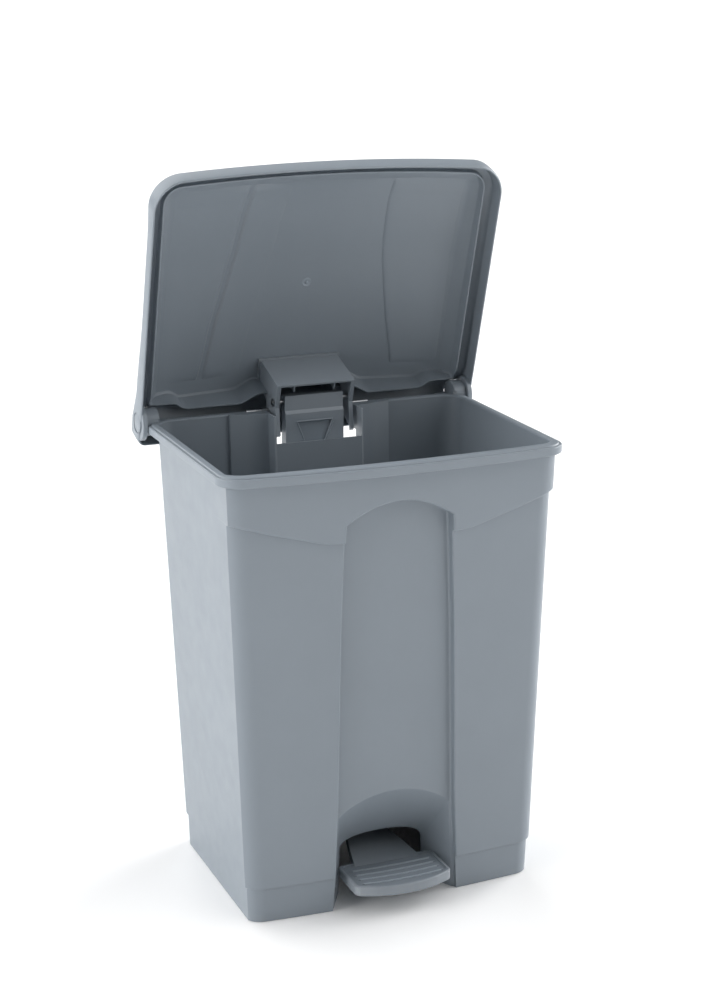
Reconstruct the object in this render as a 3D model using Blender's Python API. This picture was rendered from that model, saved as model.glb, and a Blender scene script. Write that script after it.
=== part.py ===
"""Pedal trash can: a tapered plastic bin with a hinged domed lid, a rear push rod and a foot pedal.

Metres, +Z up, front towards -Y. The bin stands at rest with its pedal down and its lid open.
Sizes along Y are counted from the rim's centre, and one parent empty shifts the whole model so
that the origin lies under the middle of its bounding box.
"""
import math

import bmesh
import bpy

# ---- driving dimensions -------------------------------------------------------------------
GAP = 0.0003                # space left between touching pieces
MODEL_SHIFT_Y = -0.0097     # moves the rim's centre so that the bounding box is centred
WALL = 0.0030

RIM_TOP = 0.6190            # bin, upper end
LIP_HEIGHT = 0.0136
LIP_HALF = 0.2412
LIP_FRONT = -0.1788
LIP_BACK = 0.1788
LIP_RADIUS = 0.0340
LIP_BOW = 0.0159
TOP_HALF = 0.2290
TOP_FRONT = -0.1580
TOP_BACK = 0.1670
COLLAR_STEP = 0.0060

SKIRT_TOP = 0.0500          # bin, lower end
BASE_HALF = 0.2097
BASE_FRONT = -0.1572
BASE_BACK = 0.1449
SKIRT_STEP = 0.0027
SKIRT_TAPER = 0.0016
BODY_RADIUS = 0.0290
BODY_BOW = 0.0104
CORNER_CREASE = 30.0        # degrees left between the end of a front corner's arc and the side
FLOOR_Z = 0.0840            # middle of the bin's floor

RECESS_FLOOR_Y = -0.1440    # front recess and foot pocket
RECESS_SPRING_Z = 0.5410
RECESS_APEX_Z = 0.5670
POCKET_MOUTH = -0.1500
POCKET_BACK = -0.0970

CHANNEL_HALF = 0.0640       # rear channel of the push rod
CHANNEL_DEPTH = 0.0400
NOTCH_BOTTOM = 0.5800
SHELF_BOTTOM = 0.5850

HINGE_Y = 0.1731            # lid hinge
HINGE_Z = 0.6169
LID_OPEN = math.radians(73.4)
LID_HALF = 0.2508
LID_FRONT = 0.3700
LID_REAR = 0.0330
LID_BOW = 0.0112
LID_RADIUS = 0.0460
LID_REAR_RADIUS = 0.0120
LID_SKIRT_BOTTOM = -0.0145
LID_TAIL_BOTTOM = -0.0100
LID_EDGE_TOP = 0.0120
LID_HINGE_RISE = 0.0120      # the edge is higher beside the hinge and lower along the sides
LID_SIDE_FALL = 0.0065
LID_CROWN = 0.0530
LID_FRONT_DROP = 0.0160
LID_THICK = 0.0028
RIB_BOTTOM = 0.0030
RIB_REAR_BOTTOM = 0.0100
RIB_ARCH_BOTTOM = 0.0220
# the lid's rise as shares of its crown: (distance from the edge, share)
EDGE_PROFILE = ((0.0, 0.0), (0.0080, 0.09), (0.0235, 0.28), (0.0360, 0.60), (0.0600, 0.77),
                (0.1000, 0.89), (0.1500, 1.0))
REAR_PROFILE = ((0.0, 0.03), (0.0060, 0.10), (0.0160, 0.35), (0.0260, 0.585), (0.0360, 0.78),
                (0.0450, 0.92), (0.0560, 0.963), (0.0760, 1.0))
DISC_RADIUS = 0.0251
DISC_IN = 0.2415
DISC_OUT = 0.2485
KNUCKLE_RADIUS = 0.0193
KNUCKLE_IN = 0.2225
KNUCKLE_OUT = 0.2408
HINGE_PIN_RADIUS = 0.0050
BUSH_RADIUS = 0.0080
CAP_RADIUS = 0.0140
CAP_SINK = 0.0005

BRACKET_HALF = 0.0580       # bracket under the lid
BRACKET_ROOT = 0.0455
BRACKET_FRONT = 0.0520
BRACKET_OUT = -0.0250
CHEEK_THICK = 0.0055
BRACKET_BASE = 0.0025
HOOD_THICK = 0.0025
STUB_RADIUS = 0.0040
STUB_REACH = 0.0920

CRANK_V = 0.0215            # crank pin, in front of and below the hinge axis when closed
CRANK_W = -0.0156
CRANK_RADIUS = 0.0030

HEAD_HALF = 0.0435          # push rod
HEAD_FRONT = 0.1450
HEAD_BACK = 0.1590
HEAD_TOP = 0.6420
HEAD_BOTTOM = 0.5660
ROD_RADIUS = 0.0030
ROD_TOP = (0.0, 0.1495, 0.6000)
ROD_BOTTOM = (0.0, 0.1280, 0.0920)

PIVOT_Z = 0.0560            # pedal
AXLE_RADIUS = 0.0040
AXLE_HALF = 0.0560
SADDLE_X = 0.0440            # bearing blocks under the floor
SADDLE_THICK = 0.0100
SADDLE_LENGTH = 0.0560
SADDLE_TOP = FLOOR_Z - 0.0090 - GAP
REAR_ARM = (0.1256, 0.0750)
FOOT_PIN_RADIUS = 0.0030
TREAD_HALF = 0.0700
TREAD_FRONT = -0.1980
TREAD_CORNER = -0.1810
TREAD_BACK = -0.1130
TREAD_TOP = 0.0460
TREAD_BOTTOM = 0.0315
RIB_COUNT = 4
RIB_FIRST = 0.0185
RIB_PITCH = 0.0140
RIB_WIDTH = 0.0024

SCREW_RADIUS = 0.0018
SCREW_HEAD = 0.0036
ROUND_SEGMENTS = 24
CORNER_STEPS = 5
BOW_STEPS = 8

CRANK_Y = HINGE_Y - CRANK_V * math.cos(LID_OPEN) + CRANK_W * math.sin(LID_OPEN)
CRANK_Z = HINGE_Z + CRANK_V * math.sin(LID_OPEN) + CRANK_W * math.cos(LID_OPEN)


# ---- scene and material helpers -----------------------------------------------------------
def clear_scene():
    for obj in list(bpy.data.objects):
        bpy.data.objects.remove(obj, do_unlink=True)


def make_material(name, color, roughness, metallic=0.0):
    mat = bpy.data.materials.new(name)
    mat.use_nodes = True
    shader = mat.node_tree.nodes["Principled BSDF"]
    shader.inputs["Base Color"].default_value = (*color, 1.0)
    shader.inputs["Roughness"].default_value = roughness
    shader.inputs["Metallic"].default_value = metallic
    mat.diffuse_color = (*color, 1.0)
    return mat


def grey_plastic(name, shade=1.0, roughness=0.42):
    return make_material(name, (0.245 * shade, 0.275 * shade, 0.305 * shade), roughness)


def steel(name, roughness=0.28):
    return make_material(name, (0.62, 0.62, 0.60), roughness, 1.0)


def add_empty(name, parent, location, rotation_x=0.0):
    empty = bpy.data.objects.new(name, None)
    bpy.context.scene.collection.objects.link(empty)
    empty.parent = parent
    empty.location = location
    empty.rotation_euler = (rotation_x, 0.0, 0.0)
    return empty


# ---- geometry helpers ---------------------------------------------------------------------
def loft_into(bm, rings, centre_start=None, centre_end=None):
    """Bridge rings of equal length; each end is closed by a flat face or a fan to a centre."""
    rows = [[bm.verts.new(point) for point in ring] for ring in rings]
    count = len(rows[0])
    for lower, upper in zip(rows, rows[1:]):
        for i in range(count):
            j = (i + 1) % count
            bm.faces.new((lower[i], lower[j], upper[j], upper[i]))
    close_end(bm, list(reversed(rows[0])), centre_start)
    close_end(bm, rows[-1], centre_end)


def close_end(bm, row, centre):
    if centre is None:
        bm.faces.new(row)
        return
    tip = bm.verts.new(centre)
    for i, vert in enumerate(row):
        bm.faces.new((vert, row[(i + 1) % len(row)], tip))


def solid(name, lofts, mat, parent, origin=(0.0, 0.0, 0.0)):
    """One object from closed lofts whose points are given about the parent, less the origin."""
    bm = bmesh.new()
    for rings in lofts:
        loft_into(bm, rings)
    return finish(name, bm, mat, parent, origin)


def finish(name, bm, mat, parent, origin=(0.0, 0.0, 0.0)):
    bmesh.ops.translate(bm, verts=bm.verts, vec=[-value for value in origin])
    bmesh.ops.recalc_face_normals(bm, faces=bm.faces)
    mesh = bpy.data.meshes.new(name)
    bm.to_mesh(mesh)
    bm.free()
    mesh.shade_smooth()
    mesh.set_sharp_from_angle(angle=math.radians(35))
    obj = bpy.data.objects.new(name, mesh)
    bpy.context.scene.collection.objects.link(obj)
    obj.parent = parent
    if mat:
        mesh.materials.append(mat)
    return obj


def combine(target, operand, operation):
    """Boolean the operand into the target; the operand itself is only a guide."""
    operand.hide_render = True
    operand.display_type = 'WIRE'
    modifier = target.modifiers.new(operand.name, 'BOOLEAN')
    modifier.object = operand
    modifier.operation = operation
    modifier.solver = 'EXACT'


def cut(target, operand):
    combine(target, operand, 'DIFFERENCE')


def fuse(target, operand):
    combine(target, operand, 'UNION')


def prism(axis, outline, start, end):
    """Rings of an outline extruded along an axis; the outline lies in the other two axes."""
    def place(pair, along):
        if axis == 'X':
            return (along, pair[0], pair[1])
        if axis == 'Y':
            return (pair[0], along, pair[1])
        return (pair[0], pair[1], along)
    return [[place(pair, along) for pair in outline] for along in (start, end)]


def box(low, high):
    outline = [(low[0], low[1]), (high[0], low[1]), (high[0], high[1]), (low[0], high[1])]
    return prism('Z', outline, low[2], high[2])


def circle(centre, radius, segments=ROUND_SEGMENTS):
    turns = [2 * math.pi * i / segments for i in range(segments)]
    return [(centre[0] + radius * math.cos(t), centre[1] + radius * math.sin(t)) for t in turns]


def bar_x(centre, radius, x_start, x_end, segments=ROUND_SEGMENTS):
    """Round bar along X about a (y, z) centre."""
    return prism('X', circle(centre, radius, segments), x_start, x_end)


def rod_rings(low, high, radius, segments=ROUND_SEGMENTS):
    """Level circles that run from one point to a higher one."""
    return [[(x, y, point[2]) for x, y in circle(point, radius, segments)] for point in (low, high)]


def arc(centre, radius, start_deg, end_deg, steps):
    angles = [math.radians(start_deg + (end_deg - start_deg) * i / steps) for i in range(steps + 1)]
    return [(centre[0] + radius * math.cos(a), centre[1] + radius * math.sin(a)) for a in angles]


def rounded_plan(half, front, back, radius, bow, rear_radius=None, crease_deg=0.0, back_steps=1,
                 side_steps=1):
    """Rounded rectangle with a bowed front edge; its front corners may end in a crease."""
    rear = radius if rear_radius is None else rear_radius
    flat = half - radius * math.cos(math.radians(crease_deg))
    points = []
    for i in range(1, BOW_STEPS):
        x = flat * (2 * i / BOW_STEPS - 1)
        points.append((x, front + bow * (x / half) ** 2))
    corner_y = front + bow * (flat / half) ** 2 + radius
    points += arc((flat, corner_y), radius, -90, -crease_deg, CORNER_STEPS)
    rear_y = back - rear
    side_ys = [corner_y + (rear_y - corner_y) * i / side_steps for i in range(1, side_steps)]
    points += [(half, y) for y in side_ys]
    points += arc((half - rear, rear_y), rear, 0, 90, CORNER_STEPS)
    points += [((half - rear) * (1 - 2 * i / back_steps), back) for i in range(1, back_steps)]
    points += arc((rear - half, rear_y), rear, 90, 180, CORNER_STEPS)
    points += [(-half, y) for y in reversed(side_ys)]
    points += arc((-flat, corner_y), radius, 180 + crease_deg, 270, CORNER_STEPS)
    return points


def level(plan, z):
    return [(x, y, z) for x, y in plan]


def mirrored_arch(right_side, apex_z, power, steps=6):
    """Closed outline in X and Z: right side from the bottom up, an arch over it, and its mirror.

    A power of 1 gives a flat parabola; smaller powers fill the corners of the arch.
    """
    spring_x, spring_z = right_side[-1]
    crown = []
    for i in range(1, 2 * steps):
        x = spring_x * math.cos(math.pi * i / (2 * steps))
        rise = max(0.0, 1 - (x / spring_x) ** 2) ** power
        crown.append((x, spring_z + (apex_z - spring_z) * rise))
    left_side = [(-x, z) for x, z in reversed(right_side)]
    return right_side + crown + left_side


# ---- bin body -----------------------------------------------------------------------------
def body_share(z):
    return (z - SKIRT_TOP) / (RIM_TOP - LIP_HEIGHT - SKIRT_TOP)


def body_back(z):
    return BASE_BACK + (TOP_BACK - BASE_BACK) * body_share(z)


def body_plan(z, inset=0.0, proud=0.0):
    """Plan of the tapered wall at a height, moved in by inset and with its front moved out."""
    share = body_share(z)
    half = BASE_HALF + (TOP_HALF - BASE_HALF) * share - inset
    front = BASE_FRONT + (TOP_FRONT - BASE_FRONT) * share + inset - proud
    return rounded_plan(half, front, body_back(z) - inset, BODY_RADIUS - inset, BODY_BOW,
                        crease_deg=CORNER_CREASE)


def skirt_plan(inset, z):
    taper = SKIRT_STEP + SKIRT_TAPER * (1 - z / SKIRT_TOP)
    return rounded_plan(BASE_HALF - taper - inset, BASE_FRONT + taper + inset,
                        BASE_BACK - taper - inset, BODY_RADIUS - taper - inset, BODY_BOW,
                        crease_deg=CORNER_CREASE)


def lip_plan(inset=0.0):
    return rounded_plan(LIP_HALF - inset, LIP_FRONT + inset, LIP_BACK - inset,
                        LIP_RADIUS - inset, LIP_BOW)


def outer_wall_rings():
    lip_low = RIM_TOP - LIP_HEIGHT
    return [level(skirt_plan(0.0, 0.0), 0.0),
            level(skirt_plan(0.0, SKIRT_TOP), SKIRT_TOP - 0.0010),
            level(body_plan(SKIRT_TOP), SKIRT_TOP + 0.0010),
            level(body_plan(0.3), 0.3),
            level(body_plan(lip_low), lip_low),
            level(lip_plan(0.0010), lip_low + 0.0002),
            level(lip_plan(), lip_low + 0.0015),
            level(lip_plan(), RIM_TOP - 0.0035),
            level(lip_plan(0.0012), RIM_TOP - 0.0010),
            level(lip_plan(0.0040), RIM_TOP)]


def collar(parent):
    """Proud band round the top of the front, with an S-shaped lower edge."""
    low = 0.4900
    high = RIM_TOP - LIP_HEIGHT + 0.0005
    rings = [level(body_plan(z, 0.0002, COLLAR_STEP), z) for z in (low, high)]
    band = solid("collar_guide", [rings], None, parent)
    edge = [(-0.30, 0.553), (-0.225, 0.553), (-0.200, 0.546), (-0.168, 0.536), (-0.136, 0.528),
            (-0.105, 0.519), (-0.085, 0.517)]
    outline = [(-0.30, 0.40), (0.30, 0.40)] + [(-x, z) for x, z in edge] + list(reversed(edge))
    under = solid("collar_edge_cutter", [prism('Y', outline, -0.30, 0.30)], None, parent)
    cut(band, under)
    return band


def inner_space(parent):
    """The hollow that holds the waste, less the linings of recess, pocket and channel."""
    low = FLOOR_Z + WALL / 2
    lip_low = RIM_TOP - LIP_HEIGHT
    rings = [level(body_plan(low, WALL), low),
             level(body_plan(0.3, WALL), 0.3),
             level(body_plan(lip_low, WALL), lip_low),
             level(body_plan(lip_low + 0.030, WALL), lip_low + 0.030)]
    space = solid("inner_space_cutter", [rings], None, parent)
    cut(space, recess_block("recess_lining", parent, WALL))
    cut(space, pocket_block("pocket_lining", parent, WALL))
    cut(space, channel_block("channel_lining", parent, WALL, -0.05, RIM_TOP + 0.05))
    return space


def under_space(parent):
    """The hollow below the floor, less the lining of the foot pocket."""
    high = FLOOR_Z - WALL / 2
    rings = [level(skirt_plan(WALL, 0.0), -0.01),
             level(skirt_plan(WALL, SKIRT_TOP), SKIRT_TOP),
             level(body_plan(high, WALL + SKIRT_STEP), high)]
    space = solid("under_space_cutter", [rings], None, parent)
    cut(space, pocket_block("pocket_under_lining", parent, WALL))
    return space


def recess_block(name, parent, grow):
    """Arched front recess, as a block that is larger all round by grow."""
    right = [(0.0925, -0.02), (0.0880, 0.053), (0.0845, 0.140), (0.0800, 0.390),
             (0.0760, 0.500), (0.0742, RECESS_SPRING_Z)]
    wide = [(x + grow, z) for x, z in right]
    outline = mirrored_arch(wide, RECESS_APEX_Z + grow, 1.0)
    return solid(name, [prism('Y', outline, -0.25, RECESS_FLOOR_Y + grow)], None, parent)


def pocket_block(name, parent, grow, reach=0.0):
    """Foot pocket: an arched mouth that narrows to a small opening under the floor."""
    mouth = mirrored_arch([(0.0920 + grow, -0.02), (0.0845 + grow, 0.137)], 0.1685 + grow, 0.9)
    throat = mirrored_arch([(0.0620 + grow, -0.02), (0.0600 + grow, 0.048)], 0.0805 + grow, 0.22)
    rings = [[(x, y, z) for x, z in outline]
             for outline, y in ((mouth, -0.25), (mouth, POCKET_MOUTH), (throat, POCKET_BACK))]
    if reach:
        rings.append([(x, POCKET_BACK + reach, z) for x, z in throat])
    return solid(name, [rings], None, parent)


def channel_block(name, parent, grow, low, high):
    """Rear channel with chamfered shoulders, following the slope of the back wall."""
    def ring(z):
        back = body_back(z)
        side = [(0.1170 + grow, back + 0.05), (0.1170 + grow, back - 0.0050 - grow),
                (0.0950 + grow, back - 0.0110 - grow), (0.0700 + grow, back - 0.0160 - grow),
                (CHANNEL_HALF + grow, back - 0.0190 - grow),
                (CHANNEL_HALF + grow, back - CHANNEL_DEPTH - grow)]
        return [(x, y, z) for x, y in side] + [(-x, y, z) for x, y in reversed(side)]
    return solid(name, [[ring(low), ring(high)]], None, parent)


def lever_opening(parent):
    """Opening in the floor of the channel, through which lever and push rod meet."""
    front = body_back(FLOOR_Z) - CHANNEL_DEPTH + 0.0020
    return solid("lever_opening_cutter", [box((-0.0300, front, FLOOR_Z - 0.01),
                                              (0.0300, BASE_BACK - 0.0035, FLOOR_Z + 0.01))],
                 None, parent)


def notch_cutter(parent):
    """Opens the channel to the inside above its front wall, and through the rim."""
    high = RIM_TOP + 0.05
    back = body_back(NOTCH_BOTTOM)
    return solid("notch_cutter", [box((-CHANNEL_HALF, back - CHANNEL_DEPTH - 0.010, NOTCH_BOTTOM),
                                      (CHANNEL_HALF, 0.25, high))], None, parent)


def knuckle(side, parent):
    bar = bar_x((HINGE_Y, HINGE_Z), KNUCKLE_RADIUS, side * KNUCKLE_IN, side * KNUCKLE_OUT, 32)
    return solid("knuckle_guide_" + side_name(side), [bar], None, parent)


def knuckle_web(side, parent):
    """Ear on the back corner of the rim that carries the knuckle."""
    foot = RIM_TOP - LIP_HEIGHT + 0.0002
    outline = [(0.1500, foot), (0.1830, foot), (0.1870, foot + 0.0045), (0.1885, HINGE_Z - 0.0005),
               (0.1500, HINGE_Z - 0.0005)]
    web = prism('X', outline, side * 0.2050, side * (KNUCKLE_OUT - 0.0006))
    return solid("knuckle_web_guide_" + side_name(side), [web], None, parent)


def stub_ledge_cutter(parent):
    """Rounded ledges beside the notch, open upwards and to the back, where the stub pins turn."""
    radius = STUB_RADIUS + 0.0006
    top = RIM_TOP + 0.02
    outline = [(HINGE_Y - radius, top)] + arc((HINGE_Y, HINGE_Z), radius, 180, 270, 6)
    outline += [(0.20, HINGE_Z - radius), (0.20, top)]
    return solid("stub_ledge_cutter", [prism('X', outline, -0.0935, 0.0935)], None, parent)


def side_name(side):
    return "left" if side < 0 else "right"


def screw_bosses(parent):
    """Pads under the floor that take the screws of the axle saddles."""
    pads = []
    for side in (-1, 1):
        x = side * SADDLE_X
        pads.append(box((x - 0.012, -SADDLE_LENGTH / 2, FLOOR_Z - 0.0090),
                        (x + 0.012, SADDLE_LENGTH / 2, FLOOR_Z)))
    return solid("screw_boss_guide", pads, None, parent)


def make_bin_body(parent):
    body = solid("bin_body", [outer_wall_rings()], grey_plastic("bin_plastic"), parent)
    fuse(body, collar(parent))
    for side in (-1, 1):
        fuse(body, knuckle_web(side, parent))
        fuse(body, knuckle(side, parent))
    cut(body, recess_block("recess_cutter", parent, 0.0))
    cut(body, inner_space(parent))
    cut(body, under_space(parent))
    cut(body, pocket_block("pocket_cutter", parent, 0.0, 0.020))
    cut(body, channel_block("channel_cutter", parent, 0.0, FLOOR_Z + WALL / 2, SHELF_BOTTOM))
    cut(body, lever_opening(parent))
    cut(body, notch_cutter(parent))
    fuse(body, screw_bosses(parent))
    cut(body, screw_holes("boss_hole_cutter", parent))
    for side in (-1, 1):
        bore = bar_x((HINGE_Y, HINGE_Z), BUSH_RADIUS + GAP, side * (KNUCKLE_IN + 0.004), side * 0.26)
        cut(body, solid("bush_bore_cutter_" + side_name(side), [bore], None, parent))
    cut(body, stub_ledge_cutter(parent))
    return body


# ---- axle saddles under the floor ---------------------------------------------------------
def saddle_screw_places():
    reach = SADDLE_LENGTH / 2 - 0.0070
    return [(side * SADDLE_X, end * reach) for side in (-1, 1) for end in (-1, 1)]


def screw_holes(name, parent):
    holes = [rod_rings((x, y, 0.0), (x, y, FLOOR_Z - 0.0005), SCREW_RADIUS + GAP, 12)
             for x, y in saddle_screw_places()]
    return solid(name, holes, None, parent)


def make_saddle(side, parent):
    """Bearing block that carries one end of the pedal's axle under the floor."""
    half = SADDLE_LENGTH / 2
    outline = [(-half, SADDLE_TOP), (-half, SADDLE_TOP - 0.0050), (-0.0130, SADDLE_TOP - 0.0050)]
    outline += arc((0.0, PIVOT_Z), 0.0100, 180, 360, 10)
    outline += [(0.0130, SADDLE_TOP - 0.0050), (half, SADDLE_TOP - 0.0050), (half, SADDLE_TOP)]
    x = side * SADDLE_X
    block = prism('X', outline, x - SADDLE_THICK / 2, x + SADDLE_THICK / 2)
    name = "axle_saddle_" + side_name(side)
    saddle = solid(name, [block], grey_plastic(name + "_plastic", 0.9), parent)
    bore = bar_x((0.0, PIVOT_Z), AXLE_RADIUS + 0.0004, x - 0.02, x + 0.02)
    cut(saddle, solid(name + "_bore_cutter", [bore], None, parent))
    cut(saddle, screw_holes(name + "_hole_cutter", parent))


def screw_rings(x, y, seat, tip, head=0.0022):
    """Screw that points up: a domed head under its seat and a plain shank."""
    sizes = [(seat - head, SCREW_HEAD * 0.6), (seat - head * 0.6, SCREW_HEAD), (seat - GAP, SCREW_HEAD),
             (seat - GAP, SCREW_RADIUS), (tip - 0.001, SCREW_RADIUS), (tip, SCREW_RADIUS * 0.4)]
    return [[(px, py, z) for px, py in circle((x, y), radius, 12)] for z, radius in sizes]


def make_screws(name, places, seat, tip, parent):
    """Equal screws, each its own piece."""
    metal = steel(name + "_steel")
    for number, (x, y) in enumerate(places, 1):
        solid("%s_%d" % (name, number), [screw_rings(x, y, seat, tip)], metal, parent)


# ---- hinge bushes and rod guide -----------------------------------------------------------
def make_bush(side, parent):
    name = "hinge_bush_" + side_name(side)
    low, high = side * (KNUCKLE_IN + 0.0045), side * (KNUCKLE_OUT - 0.0002)
    outer = bar_x((HINGE_Y, HINGE_Z), BUSH_RADIUS, low, high)
    bush = solid(name, [outer], make_material(name + "_nylon", (0.08, 0.09, 0.10), 0.5), parent)
    bore = bar_x((HINGE_Y, HINGE_Z), HINGE_PIN_RADIUS + GAP, side * 0.20, side * 0.26)
    cut(bush, solid(name + "_bore_cutter", [bore], None, parent))


def make_rod_guide(parent):
    """Forked clip on the channel's front wall that keeps the push rod from bowing."""
    z = 0.330
    wall_y = body_back(z) - CHANNEL_DEPTH + 0.0012
    rod_y = rod_centre_y(z)
    lean = math.atan((TOP_BACK - BASE_BACK) / (RIM_TOP - LIP_HEIGHT - SKIRT_TOP))
    plate = box((-0.018, wall_y, z - 0.022), (0.018, wall_y + 0.003, z + 0.022))
    guide = solid("push_rod_guide", [plate], grey_plastic("guide_plastic", 0.85), parent)
    arms = box((-0.0075, wall_y + 0.001, z - 0.008), (0.0075, rod_y + 0.0075, z + 0.008))
    fuse(guide, solid("guide_arm_guide", [arms], None, parent))
    gap = box((-ROD_RADIUS - 0.0008, wall_y + 0.010, z - 0.02),
              (ROD_RADIUS + 0.0008, rod_y + 0.02, z + 0.02))
    cut(guide, solid("guide_gap_cutter", [gap], None, parent))
    trim = box((-0.03, wall_y - 0.02, z - 0.03), (0.03, wall_y, z + 0.03))
    trim = [[(x, y + (pz - z) * math.tan(lean), pz) for x, y, pz in ring] for ring in trim]
    cut(guide, solid("guide_back_cutter", [trim], None, parent))


def rod_centre_y(z):
    share = (z - ROD_BOTTOM[2]) / (ROD_TOP[2] - ROD_BOTTOM[2])
    return ROD_BOTTOM[1] + (ROD_TOP[1] - ROD_BOTTOM[1]) * share


# ---- lid ----------------------------------------------------------------------------------
def smooth_share(value):
    value = min(1.0, max(0.0, value))
    return value * value * (3 - 2 * value)


def share_between(value, start, end):
    """Straight run from 0 at start to 1 at end."""
    return min(1.0, max(0.0, (value - start) / (end - start)))


def profile_rise(distance, stations):
    """Height share at a distance from the lid's edge, read between stations of a profile."""
    for (d0, rise0), (d1, rise1) in zip(stations, stations[1:]):
        if distance < d1:
            return rise0 + (rise1 - rise0) * max(0.0, distance - d0) / (d1 - d0)
    return stations[-1][1]


def lid_top(x, v):
    """Height of the lid's upper surface above the hinge axis; v counts forwards from the axis."""
    side = LID_HALF - abs(x)
    front = LID_FRONT - LID_BOW * (x / LID_HALF) ** 2 - v
    edge_change = LID_HINGE_RISE * smooth_share((0.040 - v) / 0.040) * smooth_share(1 - side / 0.016)
    fall = smooth_share(share_between(v, 0.050, 0.160)) * smooth_share(share_between(front, 0.020, 0.080))
    edge_change -= LID_SIDE_FALL * fall * smooth_share(1 - side / 0.010)
    crown = LID_CROWN - LID_FRONT_DROP * max(0.0, (v - 0.17) / 0.20) ** 2
    rise = profile_rise(side, EDGE_PROFILE) * profile_rise(front, EDGE_PROFILE)
    rise *= profile_rise(v + LID_REAR, REAR_PROFILE)
    return LID_EDGE_TOP + edge_change + (crown - LID_EDGE_TOP) * rise


def lid_groove(x, v):
    return lid_top(x, v) - LID_THICK - 0.0007


def skirt_bottom(x, v):
    tail = smooth_share(share_between(v, 0.030, -0.020))
    return LID_SKIRT_BOTTOM + (LID_TAIL_BOTTOM - LID_SKIRT_BOTTOM) * tail


def rib_bottom(x, v):
    """Lower edge of the inner rib, raised at the rear and once more over the stub pins."""
    arch = smooth_share(share_between(abs(x), 0.1120, 0.0900))
    rear = RIB_REAR_BOTTOM + (RIB_ARCH_BOTTOM - RIB_REAR_BOTTOM) * arch
    return RIB_BOTTOM + (rear - RIB_BOTTOM) * smooth_share(share_between(v, 0.030, 0.0135))


def lid_ring(side, front, rear, height):
    """Ring of the lid at its distances from the three edges; the height is a function of x, v."""
    plan = rounded_plan(LID_HALF - side, -LID_FRONT + front, LID_REAR - rear,
                        max(LID_RADIUS - side, 0.020), LID_BOW, max(LID_REAR_RADIUS - rear, 0.004),
                        back_steps=12, side_steps=5)
    return [(x, y, height(x, -y)) for x, y in plan]


def lid_shell_rings():
    """From the middle of the underside, out round the edge and back to the middle of the top."""
    rings = []
    for d in (0.150, 0.100, 0.060, 0.036, 0.0235):
        rings.append(lid_ring(d, d - 0.0035, 0.0480 + (d - 0.0235) * 0.30,
                              lambda x, v: lid_top(x, v) - LID_THICK - 0.0007))
    rings.append(lid_ring(0.0218, 0.0180, 0.0435, rib_bottom))
    rings.append(lid_ring(0.0192, 0.0155, 0.0410, rib_bottom))
    for side, front, rear in ((0.0180, 0.0143, 0.0395), (0.0135, 0.0105, 0.0300),
                              (0.0090, 0.0075, 0.0170), (0.0048, 0.0048, 0.0040)):
        rings.append(lid_ring(side, front, rear, lid_groove))
    rings.append(lid_ring(0.0038, 0.0038, 0.0030, skirt_bottom))
    rings.append(lid_ring(0.0014, 0.0014, 0.0010, skirt_bottom))
    rings.append(lid_ring(0.0, 0.0, 0.0, lambda x, v: skirt_bottom(x, v) + 0.0105))
    rings.append(lid_ring(0.0006, 0.0006, 0.0004, lambda x, v: lid_top(x, v) - 0.0015))
    rings.append(lid_ring(0.0030, 0.0030, 0.0022, lid_top))
    for d, rear in ((0.0080, 0.0080), (0.0160, 0.0190), (0.0235, 0.0285), (0.0300, 0.0370),
                    (0.0360, 0.0450), (0.0600, 0.0560), (0.1000, 0.0680), (0.1500, 0.0830)):
        rings.append(lid_ring(d, d, rear, lid_top))
    return rings


def make_lid_shell(parent):
    rings = lid_shell_rings()
    middle = (LID_REAR - LID_FRONT) / 2
    top = lid_top(0.0, -middle)
    bm = bmesh.new()
    loft_into(bm, rings, (0.0, middle, top - LID_THICK), (0.0, middle, top))
    lid = finish("lid_shell", bm, grey_plastic("lid_plastic", 1.02), parent)
    pad = box((-BRACKET_HALF - 0.003, -BRACKET_FRONT - 0.006, BRACKET_ROOT),
              (BRACKET_HALF + 0.003, -0.0160, LID_CROWN - 0.0035))
    fuse(lid, solid("lid_pad_guide", [pad], None, parent))
    for side in (-1, 1):
        room = bar_x((0.0, 0.0), KNUCKLE_RADIUS + 0.0025, side * 0.2205, side * (KNUCKLE_OUT + 0.0004), 32)
        cut(lid, solid("knuckle_room_cutter_" + side_name(side), [room], None, parent))
        disc = bar_x((0.0, 0.0), DISC_RADIUS, side * DISC_IN, side * DISC_OUT, 32)
        fuse(lid, solid("disc_guide_" + side_name(side), [disc], None, parent))
        bore = bar_x((0.0, 0.0), HINGE_PIN_RADIUS + GAP, side * (DISC_IN - 0.001), side * 0.2600)
        cut(lid, solid("disc_bore_cutter_" + side_name(side), [bore], None, parent))
        seat = bar_x((0.0, 0.0), CAP_RADIUS + GAP, side * (DISC_OUT - CAP_SINK), side * 0.2600, 32)
        cut(lid, solid("cap_seat_cutter_" + side_name(side), [seat], None, parent))
    holes = [rod_rings((x, y, 0.0), (x, y, BRACKET_ROOT + 0.0060), SCREW_RADIUS + GAP, 12)
             for x, y in bracket_screw_places()]
    cut(lid, solid("lid_screw_hole_cutter", holes, None, parent))
    return lid


def make_hinge_pin(side, parent):
    name = "hinge_pin_" + side_name(side)
    pin = bar_x((0.0, 0.0), HINGE_PIN_RADIUS, side * (KNUCKLE_IN + 0.006), side * (DISC_OUT - CAP_SINK))
    solid(name, [pin], steel(name + "_steel"), parent)


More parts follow.
